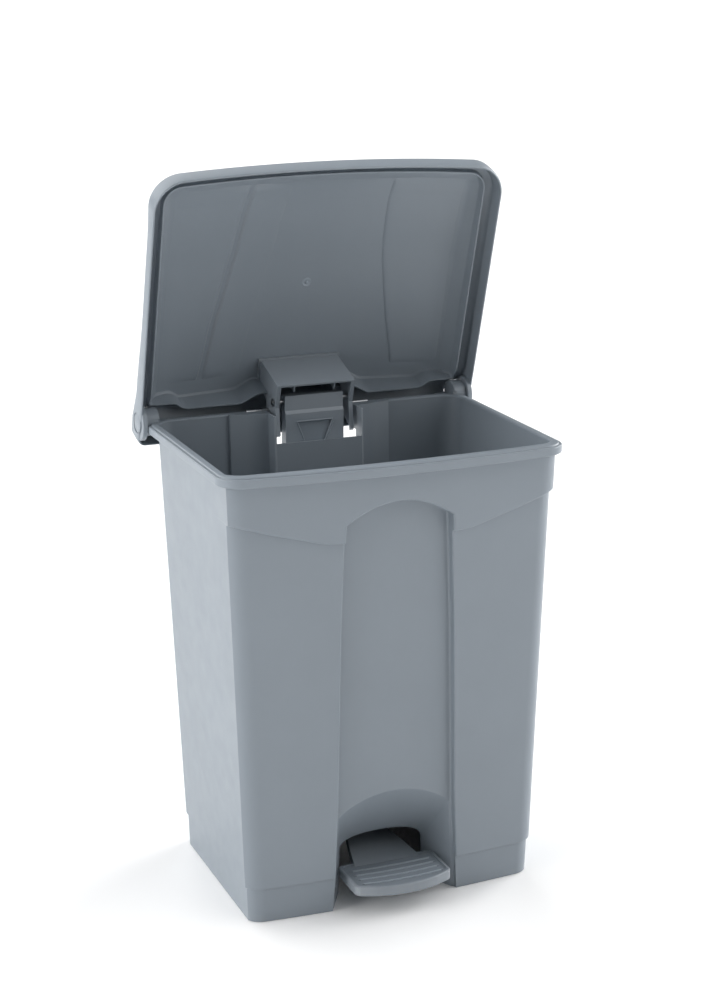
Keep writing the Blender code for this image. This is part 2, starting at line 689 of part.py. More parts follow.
def make_hinge_cap(side, parent):
    """Round cap that covers the pin on the outside of the lid's disc."""
    name = "hinge_cap_" + side_name(side)
    sizes = [(DISC_OUT - CAP_SINK + GAP, CAP_RADIUS), (DISC_OUT + 0.0014, CAP_RADIUS),
             (LID_HALF - 0.0001, CAP_RADIUS - 0.0020)]
    rings = [[(side * x, y, z) for y, z in circle((0.0, 0.0), radius, 32)] for x, radius in sizes]
    solid(name, [rings], grey_plastic(name + "_plastic", 1.05), parent)


# ---- bracket under the lid ----------------------------------------------------------------
def bracket_screw_places():
    return [(side * 0.0405, -v) for side in (-1, 1) for v in (0.0240, 0.0420)]


def cheek_outline():
    """Side plate of the bracket in (y, z) about the hinge axis, with the lid closed."""
    root = BRACKET_ROOT - GAP
    points = [(-BRACKET_FRONT, BRACKET_OUT), (-BRACKET_FRONT - 0.003, root), (-0.0180, root)]
    points += [(-0.0100, 0.0120)]
    points += arc((0.0, 0.0), 0.0100, 90, -30, 6)
    points += [(0.0150, -0.0345), (0.0215, -0.0385), (0.0175, -0.0412), (0.0040, -0.0345),
               (-0.0180, -0.0250)]
    return points


def make_lid_bracket(parent):
    """Hood with two cheeks that holds the crank pin and turns on the stub pins."""
    outline = cheek_outline()
    root = BRACKET_ROOT - GAP
    base = box((-BRACKET_HALF, -BRACKET_FRONT - 0.002, root - BRACKET_BASE), (BRACKET_HALF, -0.0180, root))
    bracket = solid("lid_bracket", [base], grey_plastic("bracket_plastic", 0.92), parent)
    hood = [(-BRACKET_FRONT, BRACKET_OUT), (-BRACKET_FRONT - 0.003, root),
            (-BRACKET_FRONT - 0.003 + HOOD_THICK, root), (-BRACKET_FRONT + HOOD_THICK, BRACKET_OUT)]
    fuse(bracket, solid("hood_guide", [prism('X', hood, -BRACKET_HALF, BRACKET_HALF)], None, parent))
    for side in (-1, 1):
        plate = prism('X', outline, side * (BRACKET_HALF - CHEEK_THICK), side * BRACKET_HALF)
        fuse(bracket, solid("cheek_guide_" + side_name(side), [plate], None, parent))
        rib = [(-BRACKET_FRONT + 0.0005, BRACKET_OUT + 0.0060), (-BRACKET_FRONT - 0.001, root - 0.001),
               (-0.0380, root - 0.001), (-0.0380, BRACKET_OUT + 0.0060)]
        plate = prism('X', rib, side * 0.0288, side * 0.0312)
        fuse(bracket, solid("rib_guide_" + side_name(side), [plate], None, parent))
    pin = bar_x((-CRANK_V, CRANK_W), CRANK_RADIUS + GAP, -0.07, 0.07)
    cut(bracket, solid("crank_bore_cutter", [pin], None, parent))
    stub = bar_x((0.0, 0.0), STUB_RADIUS + GAP, -0.07, 0.07)
    cut(bracket, solid("stub_bore_cutter", [stub], None, parent))
    holes = [rod_rings((x, y, 0.02), (x, y, 0.06), SCREW_RADIUS + GAP, 12)
             for x, y in bracket_screw_places()]
    cut(bracket, solid("bracket_hole_cutter", holes, None, parent))


def make_crank_pin(parent):
    reach = BRACKET_HALF + 0.0030
    pin = bar_x((-CRANK_V, CRANK_W), CRANK_RADIUS, -reach, reach)
    solid("crank_pin", [pin], steel("crank_pin_steel"), parent)


def make_ring_clip(name, centre, pin_radius, x_start, thick, parent, origin=(0.0, 0.0, 0.0)):
    """Spring washer pushed on the end of a pin."""
    outer = bar_x(centre, pin_radius + 0.0028, x_start, x_start + thick, 20)
    clip = solid(name, [outer], steel(name + "_steel", 0.35), parent, origin)
    bore = bar_x(centre, pin_radius + 0.0002, x_start - 0.01, x_start + thick + 0.01, 20)
    cut(clip, solid(name + "_bore_cutter", [bore], None, parent, origin))


def make_stub_pin(side, parent):
    """Short pin on the hinge axis, from the bracket's cheek to its groove in the back wall."""
    name = "stub_pin_" + side_name(side)
    pin = bar_x((0.0, 0.0), STUB_RADIUS, side * (BRACKET_HALF - CHEEK_THICK + 0.0006), side * STUB_REACH)
    solid(name, [pin], steel(name + "_steel"), parent)


# ---- push rod -----------------------------------------------------------------------------
def make_rod_head(parent, origin):
    """Plate at the top of the push rod, with a wedge-shaped dished panel."""
    step = HEAD_FRONT - 0.0030
    outline = [(step, HEAD_BOTTOM), (HEAD_BACK, HEAD_BOTTOM), (HEAD_BACK, HEAD_TOP),
               (HEAD_FRONT, HEAD_TOP), (HEAD_FRONT, 0.6210), (step, 0.6165)]
    head = solid("push_rod_head", [prism('X', outline, -HEAD_HALF, HEAD_HALF)],
                 grey_plastic("rod_head_plastic", 0.95), parent, origin)
    boss_low, boss_high = HEAD_BOTTOM - 0.0150, HEAD_BOTTOM + 0.0020
    boss = rod_rings((0.0, rod_centre_y(boss_low), boss_low), (0.0, rod_centre_y(boss_high), boss_high),
                     0.0075, 20)
    fuse(head, solid("head_boss_guide", [boss], None, parent, origin))
    wedge = [(-0.0110, HEAD_BOTTOM - 0.001), (0.0110, HEAD_BOTTOM - 0.001), (0.0260, 0.6040),
             (-0.0260, 0.6040)]
    cut(head, solid("head_wedge_cutter", [prism('Y', wedge, 0.10, step + 0.0030)], None, parent, origin))
    eye = bar_x((CRANK_Y, CRANK_Z), CRANK_RADIUS + 0.0004, -0.07, 0.07)
    cut(head, solid("head_eye_cutter", [eye], None, parent, origin))
    socket = rod_rings((0.0, rod_centre_y(0.54), 0.54), (0.0, ROD_TOP[1], ROD_TOP[2] + GAP),
                       ROD_RADIUS + GAP, 20)
    cut(head, solid("head_socket_cutter", [socket], None, parent, origin))


def make_push_rod(parent, origin):
    solid("push_rod", [rod_rings(ROD_BOTTOM, ROD_TOP, ROD_RADIUS, 20)], steel("push_rod_steel"),
          parent, origin)


def make_rod_foot(parent, origin):
    """Forked block at the bottom of the push rod that straddles the lever's tongue."""
    y, z = REAR_ARM
    outline = [(y - 0.0070, z)] + arc((y, z), 0.0070, 180, 360, 8)
    outline += [(y + 0.0080, 0.1080), (y - 0.0050, 0.1080)]
    foot = solid("push_rod_foot", [prism('X', outline, -0.0125, 0.0125)],
                 grey_plastic("rod_foot_plastic", 0.9), parent, origin)
    fork = box((-0.0085, y - 0.02, z - 0.02), (0.0085, y + 0.02, z + 0.0125))
    cut(foot, solid("foot_fork_cutter", [fork], None, parent, origin))
    socket = rod_rings((0.0, ROD_BOTTOM[1], ROD_BOTTOM[2] - GAP), (0.0, rod_centre_y(0.13), 0.13),
                       ROD_RADIUS + GAP, 20)
    cut(foot, solid("foot_socket_cutter", [socket], None, parent, origin))
    eye = bar_x(REAR_ARM, FOOT_PIN_RADIUS + GAP, -0.03, 0.03)
    cut(foot, solid("foot_eye_cutter", [eye], None, parent, origin))


def make_foot_pin(parent, origin):
    pin = bar_x(REAR_ARM, FOOT_PIN_RADIUS, -0.0155, 0.0155)
    solid("foot_pin", [pin], steel("foot_pin_steel"), parent, origin)
    make_ring_clip("foot_pin_clip_left", REAR_ARM, FOOT_PIN_RADIUS, -0.0142, 0.0012, parent, origin)
    make_ring_clip("foot_pin_clip_right", REAR_ARM, FOOT_PIN_RADIUS, 0.0130, 0.0012, parent, origin)


# ---- pedal --------------------------------------------------------------------------------
def tread_plan(inset):
    """Plan of the tread: bowed front, rounded corners, slightly splayed sides."""
    half = TREAD_HALF - inset
    radius = 0.0120 - inset * 0.5
    points = []
    for i in range(1, 8):
        x = (half - radius) * (i / 4 - 1)
        bow = (TREAD_CORNER - TREAD_FRONT) * (x / TREAD_HALF) ** 2
        points.append((x, TREAD_FRONT + inset + bow))
    corner_y = TREAD_CORNER + inset + radius - 0.0040
    points += arc((half - radius, corner_y), radius, -75, 0, 4)
    points += arc((half - 0.008, TREAD_BACK - inset - 0.008), 0.008, 0, 90, 3)
    points += arc((0.008 - half, TREAD_BACK - inset - 0.008), 0.008, 90, 180, 3)
    points += arc((radius - half, corner_y), radius, 180, 255, 4)
    return points


def lever_rings(parts):
    """Box-section lever: (y, half width, low z, high z) at each station along its length."""
    return [[(-half, y, low), (half, y, low), (half, y, high), (-half, y, high)]
            for y, half, low, high in parts]


def make_pedal(parent, origin):
    tread = [level(tread_plan(0.0015), TREAD_BOTTOM), level(tread_plan(0.0), TREAD_BOTTOM + 0.0015),
             level(tread_plan(0.0), TREAD_TOP - 0.0015), level(tread_plan(0.0015), TREAD_TOP)]
    pedal = solid("pedal", [tread], grey_plastic("pedal_plastic", 0.95), parent, origin)
    dish = [level(tread_plan(0.0045), TREAD_TOP - 0.0015), level(tread_plan(0.0045), TREAD_TOP + 0.01)]
    cut(pedal, solid("tread_dish_cutter", [dish], None, parent, origin))
    for i in range(RIB_COUNT):
        fuse(pedal, tread_rib(i, parent, origin))
    y, z = REAR_ARM
    lever = lever_rings([(TREAD_BACK - 0.010, 0.0480, 0.0325, TREAD_TOP - 0.0010),
                         (-0.0850, 0.0400, 0.0380, 0.0520), (-0.0200, 0.0220, 0.0460, 0.0620),
                         (0.0200, 0.0160, 0.0520, 0.0660), (y - 0.016, 0.0075, z - 0.0080, z + 0.0060),
                         (y + 0.0050, 0.0075, z - 0.0070, z + 0.0070)])
    fuse(pedal, solid("lever_guide", [lever], None, parent, origin))
    hub = bar_x((0.0, PIVOT_Z), 0.0105, -0.0340, 0.0340, 28)
    fuse(pedal, solid("lever_hub_guide", [hub], None, parent, origin))
    bore = bar_x((0.0, PIVOT_Z), AXLE_RADIUS + GAP, -0.06, 0.06)
    cut(pedal, solid("lever_bore_cutter", [bore], None, parent, origin))
    slack = FOOT_PIN_RADIUS + 0.0012
    slot = arc((y - 0.0080, z), slack, 90, 270, 8) + arc((y + 0.0010, z), slack, -90, 90, 8)
    cut(pedal, solid("lever_slot_cutter", [prism('X', slot, -0.03, 0.03)], None, parent, origin))


def tread_rib(index, parent, origin):
    """One raised grip rib, bowed less than the tread's front edge."""
    middle = TREAD_FRONT + RIB_FIRST + index * RIB_PITCH
    half = TREAD_HALF - 0.0110
    front, back = [], []
    for i in range(9):
        x = half * (i / 4 - 1)
        bow = (TREAD_CORNER - TREAD_FRONT) * (x / TREAD_HALF) ** 2 * (0.35 - 0.05 * index)
        front.append((x, middle + bow - RIB_WIDTH / 2))
        back.append((x, middle + bow + RIB_WIDTH / 2))
    outline = front + list(reversed(back))
    rings = [level(outline, TREAD_TOP - 0.0030), level(outline, TREAD_TOP - 0.0001)]
    return solid("tread_rib_guide_%d" % (index + 1), [rings], None, parent, origin)


def make_axle(parent, origin):
    axle = bar_x((0.0, PIVOT_Z), AXLE_RADIUS, -AXLE_HALF, AXLE_HALF)
    solid("pedal_axle", [axle], steel("axle_steel"), parent, origin)
    place = (0.0, PIVOT_Z)
    start = SADDLE_X + SADDLE_THICK / 2 + 0.0008
    make_ring_clip("axle_clip_left", place, AXLE_RADIUS, -start - 0.0015, 0.0015, parent, origin)
    make_ring_clip("axle_clip_right", place, AXLE_RADIUS, start, 0.0015, parent, origin)


# ---- assembly -----------------------------------------------------------------------------
def main():
    clear_scene()
    model = add_empty("model_origin", None, (0.0, MODEL_SHIFT_Y, 0.0))
    lid_axis = add_empty("lid_axis", model, (0.0, HINGE_Y, HINGE_Z), -LID_OPEN)
    crank = (0.0, CRANK_Y, CRANK_Z)
    rod_axis = add_empty("rod_axis", model, crank)
    pivot = (0.0, 0.0, PIVOT_Z)
    pedal_axis = add_empty("pedal_axis", model, pivot)

    make_bin_body(model)
    make_screws("saddle_screw", saddle_screw_places(), SADDLE_TOP - 0.0050, FLOOR_Z - 0.0012, model)
    make_rod_guide(model)
    make_lid_shell(lid_axis)
    make_lid_bracket(lid_axis)
    make_screws("bracket_screw", bracket_screw_places(), BRACKET_ROOT - GAP - BRACKET_BASE,
                BRACKET_ROOT + 0.0050, lid_axis)
    make_crank_pin(lid_axis)
    for side in (-1, 1):
        make_saddle(side, model)
        make_bush(side, model)
        make_hinge_pin(side, lid_axis)
        make_hinge_cap(side, lid_axis)
        make_stub_pin(side, lid_axis)
        start = side * (BRACKET_HALF + 0.0004)
        make_ring_clip("crank_clip_" + side_name(side), (-CRANK_V, CRANK_W), CRANK_RADIUS,
                       min(start, start + side * 0.0012), 0.0012, lid_axis)
    make_rod_head(rod_axis, crank)
    make_push_rod(rod_axis, crank)
    make_rod_foot(rod_axis, crank)
    make_foot_pin(rod_axis, crank)
    make_pedal(pedal_axis, pivot)
    make_axle(pedal_axis, pivot)


main()
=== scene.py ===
"""Looks of the pedal trash can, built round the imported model."""
import math

import bmesh
import bpy
import numpy as np
from mathutils import Matrix, Vector


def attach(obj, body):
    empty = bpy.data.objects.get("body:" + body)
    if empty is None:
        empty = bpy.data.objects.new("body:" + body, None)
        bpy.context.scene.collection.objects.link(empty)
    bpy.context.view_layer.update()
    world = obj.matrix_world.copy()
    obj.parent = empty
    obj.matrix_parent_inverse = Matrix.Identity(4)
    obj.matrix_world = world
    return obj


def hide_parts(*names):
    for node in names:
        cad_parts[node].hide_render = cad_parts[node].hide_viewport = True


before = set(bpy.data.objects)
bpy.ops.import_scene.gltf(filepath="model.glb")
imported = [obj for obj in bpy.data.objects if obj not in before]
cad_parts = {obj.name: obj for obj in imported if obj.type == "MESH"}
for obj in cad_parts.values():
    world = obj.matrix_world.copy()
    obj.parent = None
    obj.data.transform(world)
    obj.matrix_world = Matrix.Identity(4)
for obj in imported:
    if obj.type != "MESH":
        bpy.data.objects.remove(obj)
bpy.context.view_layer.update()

# ---- the object's own dimensions, in metres ----
SHIFT_Y = -0.0097
GAP = 0.0003
WALL = 0.0030
RIM_TOP = 0.6190
LIP_HEIGHT = 0.0136
LIP_LOW = RIM_TOP - LIP_HEIGHT
LIP_HALF = 0.2412
LIP_FRONT = -0.1788
LIP_BACK = 0.1788
LIP_RADIUS = 0.0340
LIP_BOW = 0.0159
TOP_HALF = 0.2290
TOP_FRONT = -0.1580
TOP_BACK = 0.1670
COLLAR_STEP = 0.0060
COLLAR_SIDE_STEP = 0.0010
COLLAR_CORNER_Z = 0.5530
SKIRT_TOP = 0.0500
BASE_HALF = 0.2097
BASE_FRONT = -0.1572
BASE_BACK = 0.1449
SKIRT_STEP = 0.0027
SKIRT_TAPER = 0.0016
BODY_RADIUS = 0.0290
BODY_BOW = 0.0104
CREASE = math.radians(30.0)
FLOOR_Z = 0.0840
RECESS_FLOOR_Y = -0.1440
RECESS_APEX_Z = 0.5670
RECESS_HOLLOW = 0.0034
RECESS_EDGE = 0.0028
POCKET_MOUTH = -0.1500
POCKET_BACK = -0.0970
POCKET_APEX_Z = 0.1685
POCKET_ARCH_POWER = 0.90
THROAT_APEX_Z = 0.0805
THROAT_ARCH_POWER = 0.22
CHANNEL_HALF = 0.0640
CHANNEL_DEPTH = 0.0400
CHANNEL_MOUTH_HALF = 0.1170
NOTCH_BOTTOM = 0.5800
SHELF_BOTTOM = 0.5850
LEVER_OPENING_HALF = 0.0300
EAR_IN = 0.2050
EAR_FRONT = 0.1500
EAR_BACK = 0.1885
HINGE_Y = 0.1731
HINGE_Z = 0.6169
LID_OPEN = math.radians(73.4)
LID_HALF = 0.2508
LID_FRONT = 0.3700
LID_REAR = 0.0330
LID_BOW = 0.0112
LID_RADIUS = 0.0460
LID_REAR_RADIUS = 0.0120
LID_SKIRT_BOTTOM = -0.0145
LID_TAIL_BOTTOM = -0.0100
LID_EDGE_TOP = 0.0120
LID_HINGE_RISE = 0.0120
LID_SIDE_FALL = 0.0065
LID_CROWN = 0.0530
LID_FRONT_DROP = 0.0160
LID_THICK = 0.0028
RIB_BOTTOM = 0.0030
RIB_REAR_BOTTOM = 0.0100
STEP_BRACKET = 0.0140
STEP_KNUCKLE = 0.0100
LAND_HEIGHT = 0.0015
LAND_REAR = 0.0330
LAND_FRONT = 0.3340
LAND_RUNOUT = 0.0080
LAND_SIDE_GAP = 0.0370
GATE_V = 0.1720
DISC_RADIUS = 0.0251
DISC_IN = 0.2415
DISC_OUT = 0.2485
KNUCKLE_RADIUS = 0.0193
KNUCKLE_IN = 0.2225
KNUCKLE_OUT = 0.2408
HINGE_PIN_RADIUS = 0.0050
BUSH_RADIUS = 0.0080
CAP_RADIUS = 0.0140
CAP_SINK = 0.0005
BRACKET_HALF = 0.0580
BRACKET_ROOT = 0.0455
BRACKET_FRONT = 0.0520
BRACKET_SCREW_X = 0.0405
BRACKET_SCREW_V = (0.0240, 0.0420)
BRACKET_SCREW_REACH = 0.0052
STUB_RADIUS = 0.0040
LEDGE_HALF = 0.0935
SADDLE_X = 0.0440
SADDLE_LENGTH = 0.0560
PAD_HALF = 0.0120
PAD_DEPTH = 0.0090
SCREW_RADIUS = 0.0018
SHARP_ANGLE = math.radians(30.0)
BEVEL_ANGLE = math.radians(32.0)
# planes well outside the object, where cutters start and end
FAR_FRONT = -0.25
FAR_SIDE = 0.26
CLEAR = 0.05

SIDES = (-1, 1)
BODY_PLACE = Matrix.Translation((0.0, SHIFT_Y, 0.0))
LID_PLACE = (Matrix.Translation((0.0, HINGE_Y + SHIFT_Y, HINGE_Z))
             @ Matrix.Rotation(-LID_OPEN, 4, 'X'))


# ---- materials ----
def link(tree, source, output, target, socket):
    tree.links.new(source.outputs[output], target.inputs[socket])


def noise(tree, source, output, scale, detail):
    node = tree.nodes.new("ShaderNodeTexNoise")
    node.inputs["Scale"].default_value = scale
    node.inputs["Detail"].default_value = detail
    link(tree, source, output, node, "Vector")
    return node


def spread(tree, source, low, high):
    """Stretch a noise node's usual output to the range from low to high."""
    node = tree.nodes.new("ShaderNodeMapRange")
    node.inputs["From Min"].default_value = 0.3
    node.inputs["From Max"].default_value = 0.7
    node.inputs["To Min"].default_value = low
    node.inputs["To Max"].default_value = high
    link(tree, source, 0, node, "Value")
    return node


def mix_colors(tree, factor, first, second):
    node = tree.nodes.new("ShaderNodeMix")
    node.data_type = 'RGBA'
    node.inputs["A"].default_value = (*first, 1.0)
    node.inputs["B"].default_value = (*second, 1.0)
    link(tree, factor, 0, node, "Factor")
    return node


def painted_edge_highlights(tree, base, edge_highlight):
    """Painted highlight: mix a lighter colour into base where the surface is convex."""
    geometry = tree.nodes.new("ShaderNodeNewGeometry")
    edge = tree.nodes.new("ShaderNodeMapRange")
    edge.inputs["From Min"].default_value = 0.53
    edge.inputs["From Max"].default_value = 0.62
    edge.inputs["To Max"].default_value = edge_highlight
    link(tree, geometry, "Pointiness", edge, "Value")
    highlighted = tree.nodes.new("ShaderNodeMix")
    highlighted.data_type = 'RGBA'
    highlighted.inputs["B"].default_value = (0.75, 0.77, 0.80, 1.0)
    link(tree, base, "Result", highlighted, "A")
    link(tree, edge, "Result", highlighted, "Factor")
    return highlighted


def surface(name, color, roughness, metallic=0.0, grain=2600.0, depth=0.00003, tint=0.018,
            rough_spread=0.04, edge_highlight=0.10, stretch=None):
    """Procedural material: cloudy tint, fine grain, uneven gloss and a painted highlight on convex edges.
    """
    mat = bpy.data.materials.new(name)
    mat.use_nodes = True
    tree = mat.node_tree
    shader = tree.nodes["Principled BSDF"]
    shader.inputs["Metallic"].default_value = metallic
    coords = tree.nodes.new("ShaderNodeTexCoord")
    cloud = spread(tree, noise(tree, coords, "Object", 9.0, 4.0), 0.0, 1.0)
    darker = [value * (1 - tint) for value in color]
    lighter = [min(1.0, value * (1 + tint)) for value in color]
    base = mix_colors(tree, cloud, darker, lighter)
    # the lighter convex edges are a painted highlight
    if edge_highlight:
        base = painted_edge_highlights(tree, base, edge_highlight)
    link(tree, base, "Result", shader, "Base Color")
    patches = noise(tree, coords, "Object", 38.0, 5.0)
    rough = spread(tree, patches, roughness - rough_spread, roughness + rough_spread)
    link(tree, rough, "Result", shader, "Roughness")
    if stretch:
        mapping = tree.nodes.new("ShaderNodeMapping")
        mapping.inputs["Scale"].default_value = stretch
        link(tree, coords, "Object", mapping, "Vector")
        fine = noise(tree, mapping, "Vector", grain, 2.0)
    else:
        fine = noise(tree, coords, "Object", grain, 2.0)
    bump = tree.nodes.new("ShaderNodeBump")
    bump.inputs["Strength"].default_value = 0.5
    bump.inputs["Distance"].default_value = depth
    link(tree, fine, 0, bump, "Height")
    link(tree, bump, "Normal", shader, "Normal")
    return mat


# grey-blue of the plastic, in linear light
SHADE = (0.222, 0.256, 0.291)


def shade(factor):
    return tuple(value * factor for value in SHADE)


# the lighter convex edges of these materials are a painted highlight, strongest on the pedal
bin_plastic = surface("bin_satin_plastic", shade(1.0), 0.40)
lid_plastic = surface("lid_satin_plastic", shade(1.0), 0.42)
works_plastic = surface("works_plastic", shade(1.08), 0.42, grain=2100.0)
pedal_plastic = surface("pedal_plastic", shade(0.85), 0.46, grain=1500.0, depth=0.00005, edge_highlight=0.22)
# paler copy of the plastic: a painted highlight on the border beads
border_highlight_plastic = surface("border_highlight_plastic", shade(1.20), 0.34)
# paler, glossier copy of the plastic: a painted highlight on the gate mark
gate_highlight_plastic = surface("gate_highlight_plastic", shade(1.25), 0.22, rough_spread=0.02)
# paler copy of the plastic for the caps on the tread ribs
rib_plastic = surface("pale_rib_plastic", shade(1.55), 0.42, grain=1500.0, depth=0.00004)
nylon = surface("bush_nylon", (0.060, 0.066, 0.074), 0.50, grain=1800.0)
pin_metal = surface("pin_metal", (0.42, 0.43, 0.44), 0.30, 1.0, grain=900.0, depth=0.00001,
                    stretch=(1.0, 9.0, 9.0))
rod_metal = surface("rod_metal", (0.60, 0.60, 0.59), 0.30, 1.0, grain=900.0, depth=0.00001,
                    stretch=(9.0, 9.0, 1.0))
screw_metal = surface("screw_metal", (0.55, 0.55, 0.53), 0.32, 1.0, grain=1600.0, depth=0.00002)


# ---- mesh helpers ----
def loft_into(bm, rings, tip_start=None, tip_end=None):
    """Skin equal rings into a closed shape; each end is one face, or a fan to its tip."""
    rows = [[bm.verts.new(point) for point in ring] for ring in rings]
    count = len(rows[0])
    for lower, upper in zip(rows, rows[1:]):
        for i in range(count):
            j = (i + 1) % count
            bm.faces.new((lower[i], lower[j], upper[j], upper[i]))
    for row, tip in ((list(reversed(rows[0])), tip_start), (rows[-1], tip_end)):
        if tip is None:
            bm.faces.new(row)
            continue
        centre = bm.verts.new(tip)
        for i, vert in enumerate(row):
            bm.faces.new((vert, row[(i + 1) % count], centre))


def solid(name, lofts, tips=(None, None)):
    """Object made of one or more closed lofts."""
    bm = bmesh.new()
    for rings in lofts:
        loft_into(bm, rings, *tips)
    bmesh.ops.recalc_face_normals(bm, faces=bm.faces)
    mesh = bpy.data.meshes.new(name)
    bm.to_mesh(mesh)
    bm.free()
    obj = bpy.data.objects.new(name, mesh)
    bpy.context.scene.collection.objects.link(obj)
    return obj


# operands of the Booleans that wait for settle()
guides = []


def combine(target, operand, operation):
    operand.hide_render = True
    guides.append(operand)
    modifier = target.modifiers.new(operand.name, 'BOOLEAN')
    modifier.object = operand
    modifier.operation = operation
    modifier.solver = 'EXACT'


def cut(target, operand):
    combine(target, operand, 'DIFFERENCE')


def fuse(target, operand):
    combine(target, operand, 'UNION')


def settle(obj, place, mat):
    """Bake the Booleans, move the mesh to its place in the world and shade it."""
    mesh = bpy.data.meshes.new_from_object(obj.evaluated_get(bpy.context.evaluated_depsgraph_get()))
    obj.modifiers.clear()
    old = obj.data
    obj.data = mesh
    bpy.data.meshes.remove(old)
    while guides:
        guide = guides.pop()
        data = guide.data
        bpy.data.objects.remove(guide, do_unlink=True)
        bpy.data.meshes.remove(data)
    mesh.transform(place)
    mesh.materials.clear()
    mesh.materials.append(mat)
    mesh.shade_smooth()
    mesh.set_sharp_from_angle(angle=SHARP_ANGLE)
    weighted = obj.modifiers.new("weighted_normals", 'WEIGHTED_NORMAL')
    weighted.keep_sharp = True


def prism(axis, outline, start, end):
    """Rings of a straight prism along one axis, from a flat outline."""
    order = {'X': lambda a, p: (a, p[0], p[1]), 'Y': lambda a, p: (p[0], a, p[1]),
             'Z': lambda a, p: (p[0], p[1], a)}[axis]
    return [[order(along, pair) for pair in outline] for along in (start, end)]


def box(low, high):
    outline = [(low[0], low[1]), (high[0], low[1]), (high[0], high[1]), (low[0], high[1])]
    return prism('Z', outline, low[2], high[2])


def circle(centre, radius, segments):
    turns = [2 * math.pi * i / segments for i in range(segments)]
    return [(centre[0] + radius * math.cos(t), centre[1] + radius * math.sin(t)) for t in turns]


def lathe_x(centre, profile):
    """Round body along X from (x, radius) stations."""
    return [[(x, y, z) for y, z in circle(centre, radius, 72)] for x, radius in profile]


def bar_x(centre, radius, start, end):
    return lathe_x(centre, ((start, radius), (end, radius)))


def bar_z(x, y, radius, low, high):
    return [[(px, py, z) for px, py in circle((x, y), radius, 16)] for z in (low, high)]


def smooth_share(value):
    """Ease from 0 to 1 without a kink at either end."""
    value = min(1.0, max(0.0, value))
    return value * value * (3 - 2 * value)


def share_between(value, start, end):
    return min(1.0, max(0.0, (value - start) / (end - start)))


def side_name(side):
    return "left" if side < 0 else "right"


# ---- plans of the bin ----
FRONT_COLUMNS = 44
ARC_COLUMNS = 14
SIDE_COLUMNS = 16
BACK_COLUMNS = 26


def half_plan(half, front, back, radius, bow, crease=0.0, rear=None, proud=0.0):
    """Right half of a plan from the middle of the front to the middle of the back."""
    rear = radius if rear is None else rear
    flat = half - radius * math.cos(crease)
    reach = radius + proud
    side_x = half + COLLAR_SIDE_STEP * proud / COLLAR_STEP if crease else half
    end = math.acos(min(1.0, (side_x - flat) / reach)) if crease else 0.0
    points = []
    for i in range(FRONT_COLUMNS):
        x = flat * i / FRONT_COLUMNS
        points.append((x, front + bow * (x / half) ** 2 - proud))
    corner_y = front + bow * (flat / half) ** 2 + radius
    for i in range(ARC_COLUMNS + 1):
        a = -math.pi / 2 + (math.pi / 2 - end) * i / ARC_COLUMNS
        points.append((flat + reach * math.cos(a), corner_y + reach * math.sin(a)))
    crease_y = points[-1][1]
    rear_y = back - rear
    for i in range(1, SIDE_COLUMNS):
        share = i / SIDE_COLUMNS
        y = crease_y + (rear_y - crease_y) * share
        points.append((half + (side_x - half) * (1 - smooth_share(share * 5)), y))
    for i in range(ARC_COLUMNS + 1):
        a = math.pi / 2 * i / ARC_COLUMNS
        points.append((half - rear + rear * math.cos(a), rear_y + rear * math.sin(a)))
    for i in range(1, BACK_COLUMNS + 1):
        points.append(((half - rear) * (1 - i / BACK_COLUMNS), back))
    return points


def whole(points):
    """Mirror a half plan into a closed ring; points are (x, y) or (x, y, z)."""
    return points + [(-point[0], *point[1:]) for point in reversed(points[1:-1])]


def body_share(z):
    """Height of z between the skirt and the rim, as a share."""
    return (z - SKIRT_TOP) / (LIP_LOW - SKIRT_TOP)


def body_back(z):
    return BASE_BACK + (TOP_BACK - BASE_BACK) * body_share(z)


def body_plan(z, inset=0.0, proud=0.0):
    share = body_share(z)
    half = BASE_HALF + (TOP_HALF - BASE_HALF) * share - inset
    front = BASE_FRONT + (TOP_FRONT - BASE_FRONT) * share + inset
    return half_plan(half, front, body_back(z) - inset, BODY_RADIUS - inset, BODY_BOW, CREASE,
                     None, proud)


def skirt_plan(z, inset=0.0):
    taper = SKIRT_STEP + SKIRT_TAPER * (1 - z / SKIRT_TOP) + inset
    return half_plan(BASE_HALF - taper, BASE_FRONT + taper, BASE_BACK - taper, BODY_RADIUS - taper,
                     BODY_BOW, CREASE)


def lip_plan(inset):
    return half_plan(LIP_HALF - inset, LIP_FRONT + inset, LIP_BACK - inset, LIP_RADIUS - inset, LIP_BOW)


def level(plan, z):
    return whole([(x, y, z) for x, y in plan])


# lower edge of the collar on the right half: (x, z), from the recess out to the corner
COLLAR_EDGE = ((0.0, 0.5170), (0.0850, 0.5170), (0.1050, 0.5190), (0.1360, 0.5280), (0.1680, 0.5360),
               (0.2000, 0.5460), (0.2250, COLLAR_CORNER_Z), (0.3000, COLLAR_CORNER_Z))
# section across that edge: height over the edge line and how far the face stands out
COLLAR_SECTION = ((-0.0060, 0.0), (-0.0014, 0.0), (-0.0005, 0.0002), (0.0, 0.0009), (0.0002, 0.0022),
                  (0.0004, 0.0037), (0.0009, 0.0048), (0.0016, 0.0055), (0.0027, 0.0059),
                  (0.0042, COLLAR_STEP))


def collar_edge(x):
    """Height of the collar's lower edge, softened over a short stretch."""
    xs, zs = zip(*COLLAR_EDGE)
    stretch = 0.009
    return sum(float(np.interp(abs(x) + stretch * k / 3, xs, zs)) for k in range(-3, 4)) / 7


def collar_proud(x, z):
    deltas, prouds = zip(*COLLAR_SECTION)
    return float(np.interp(z - collar_edge(x), deltas, prouds))


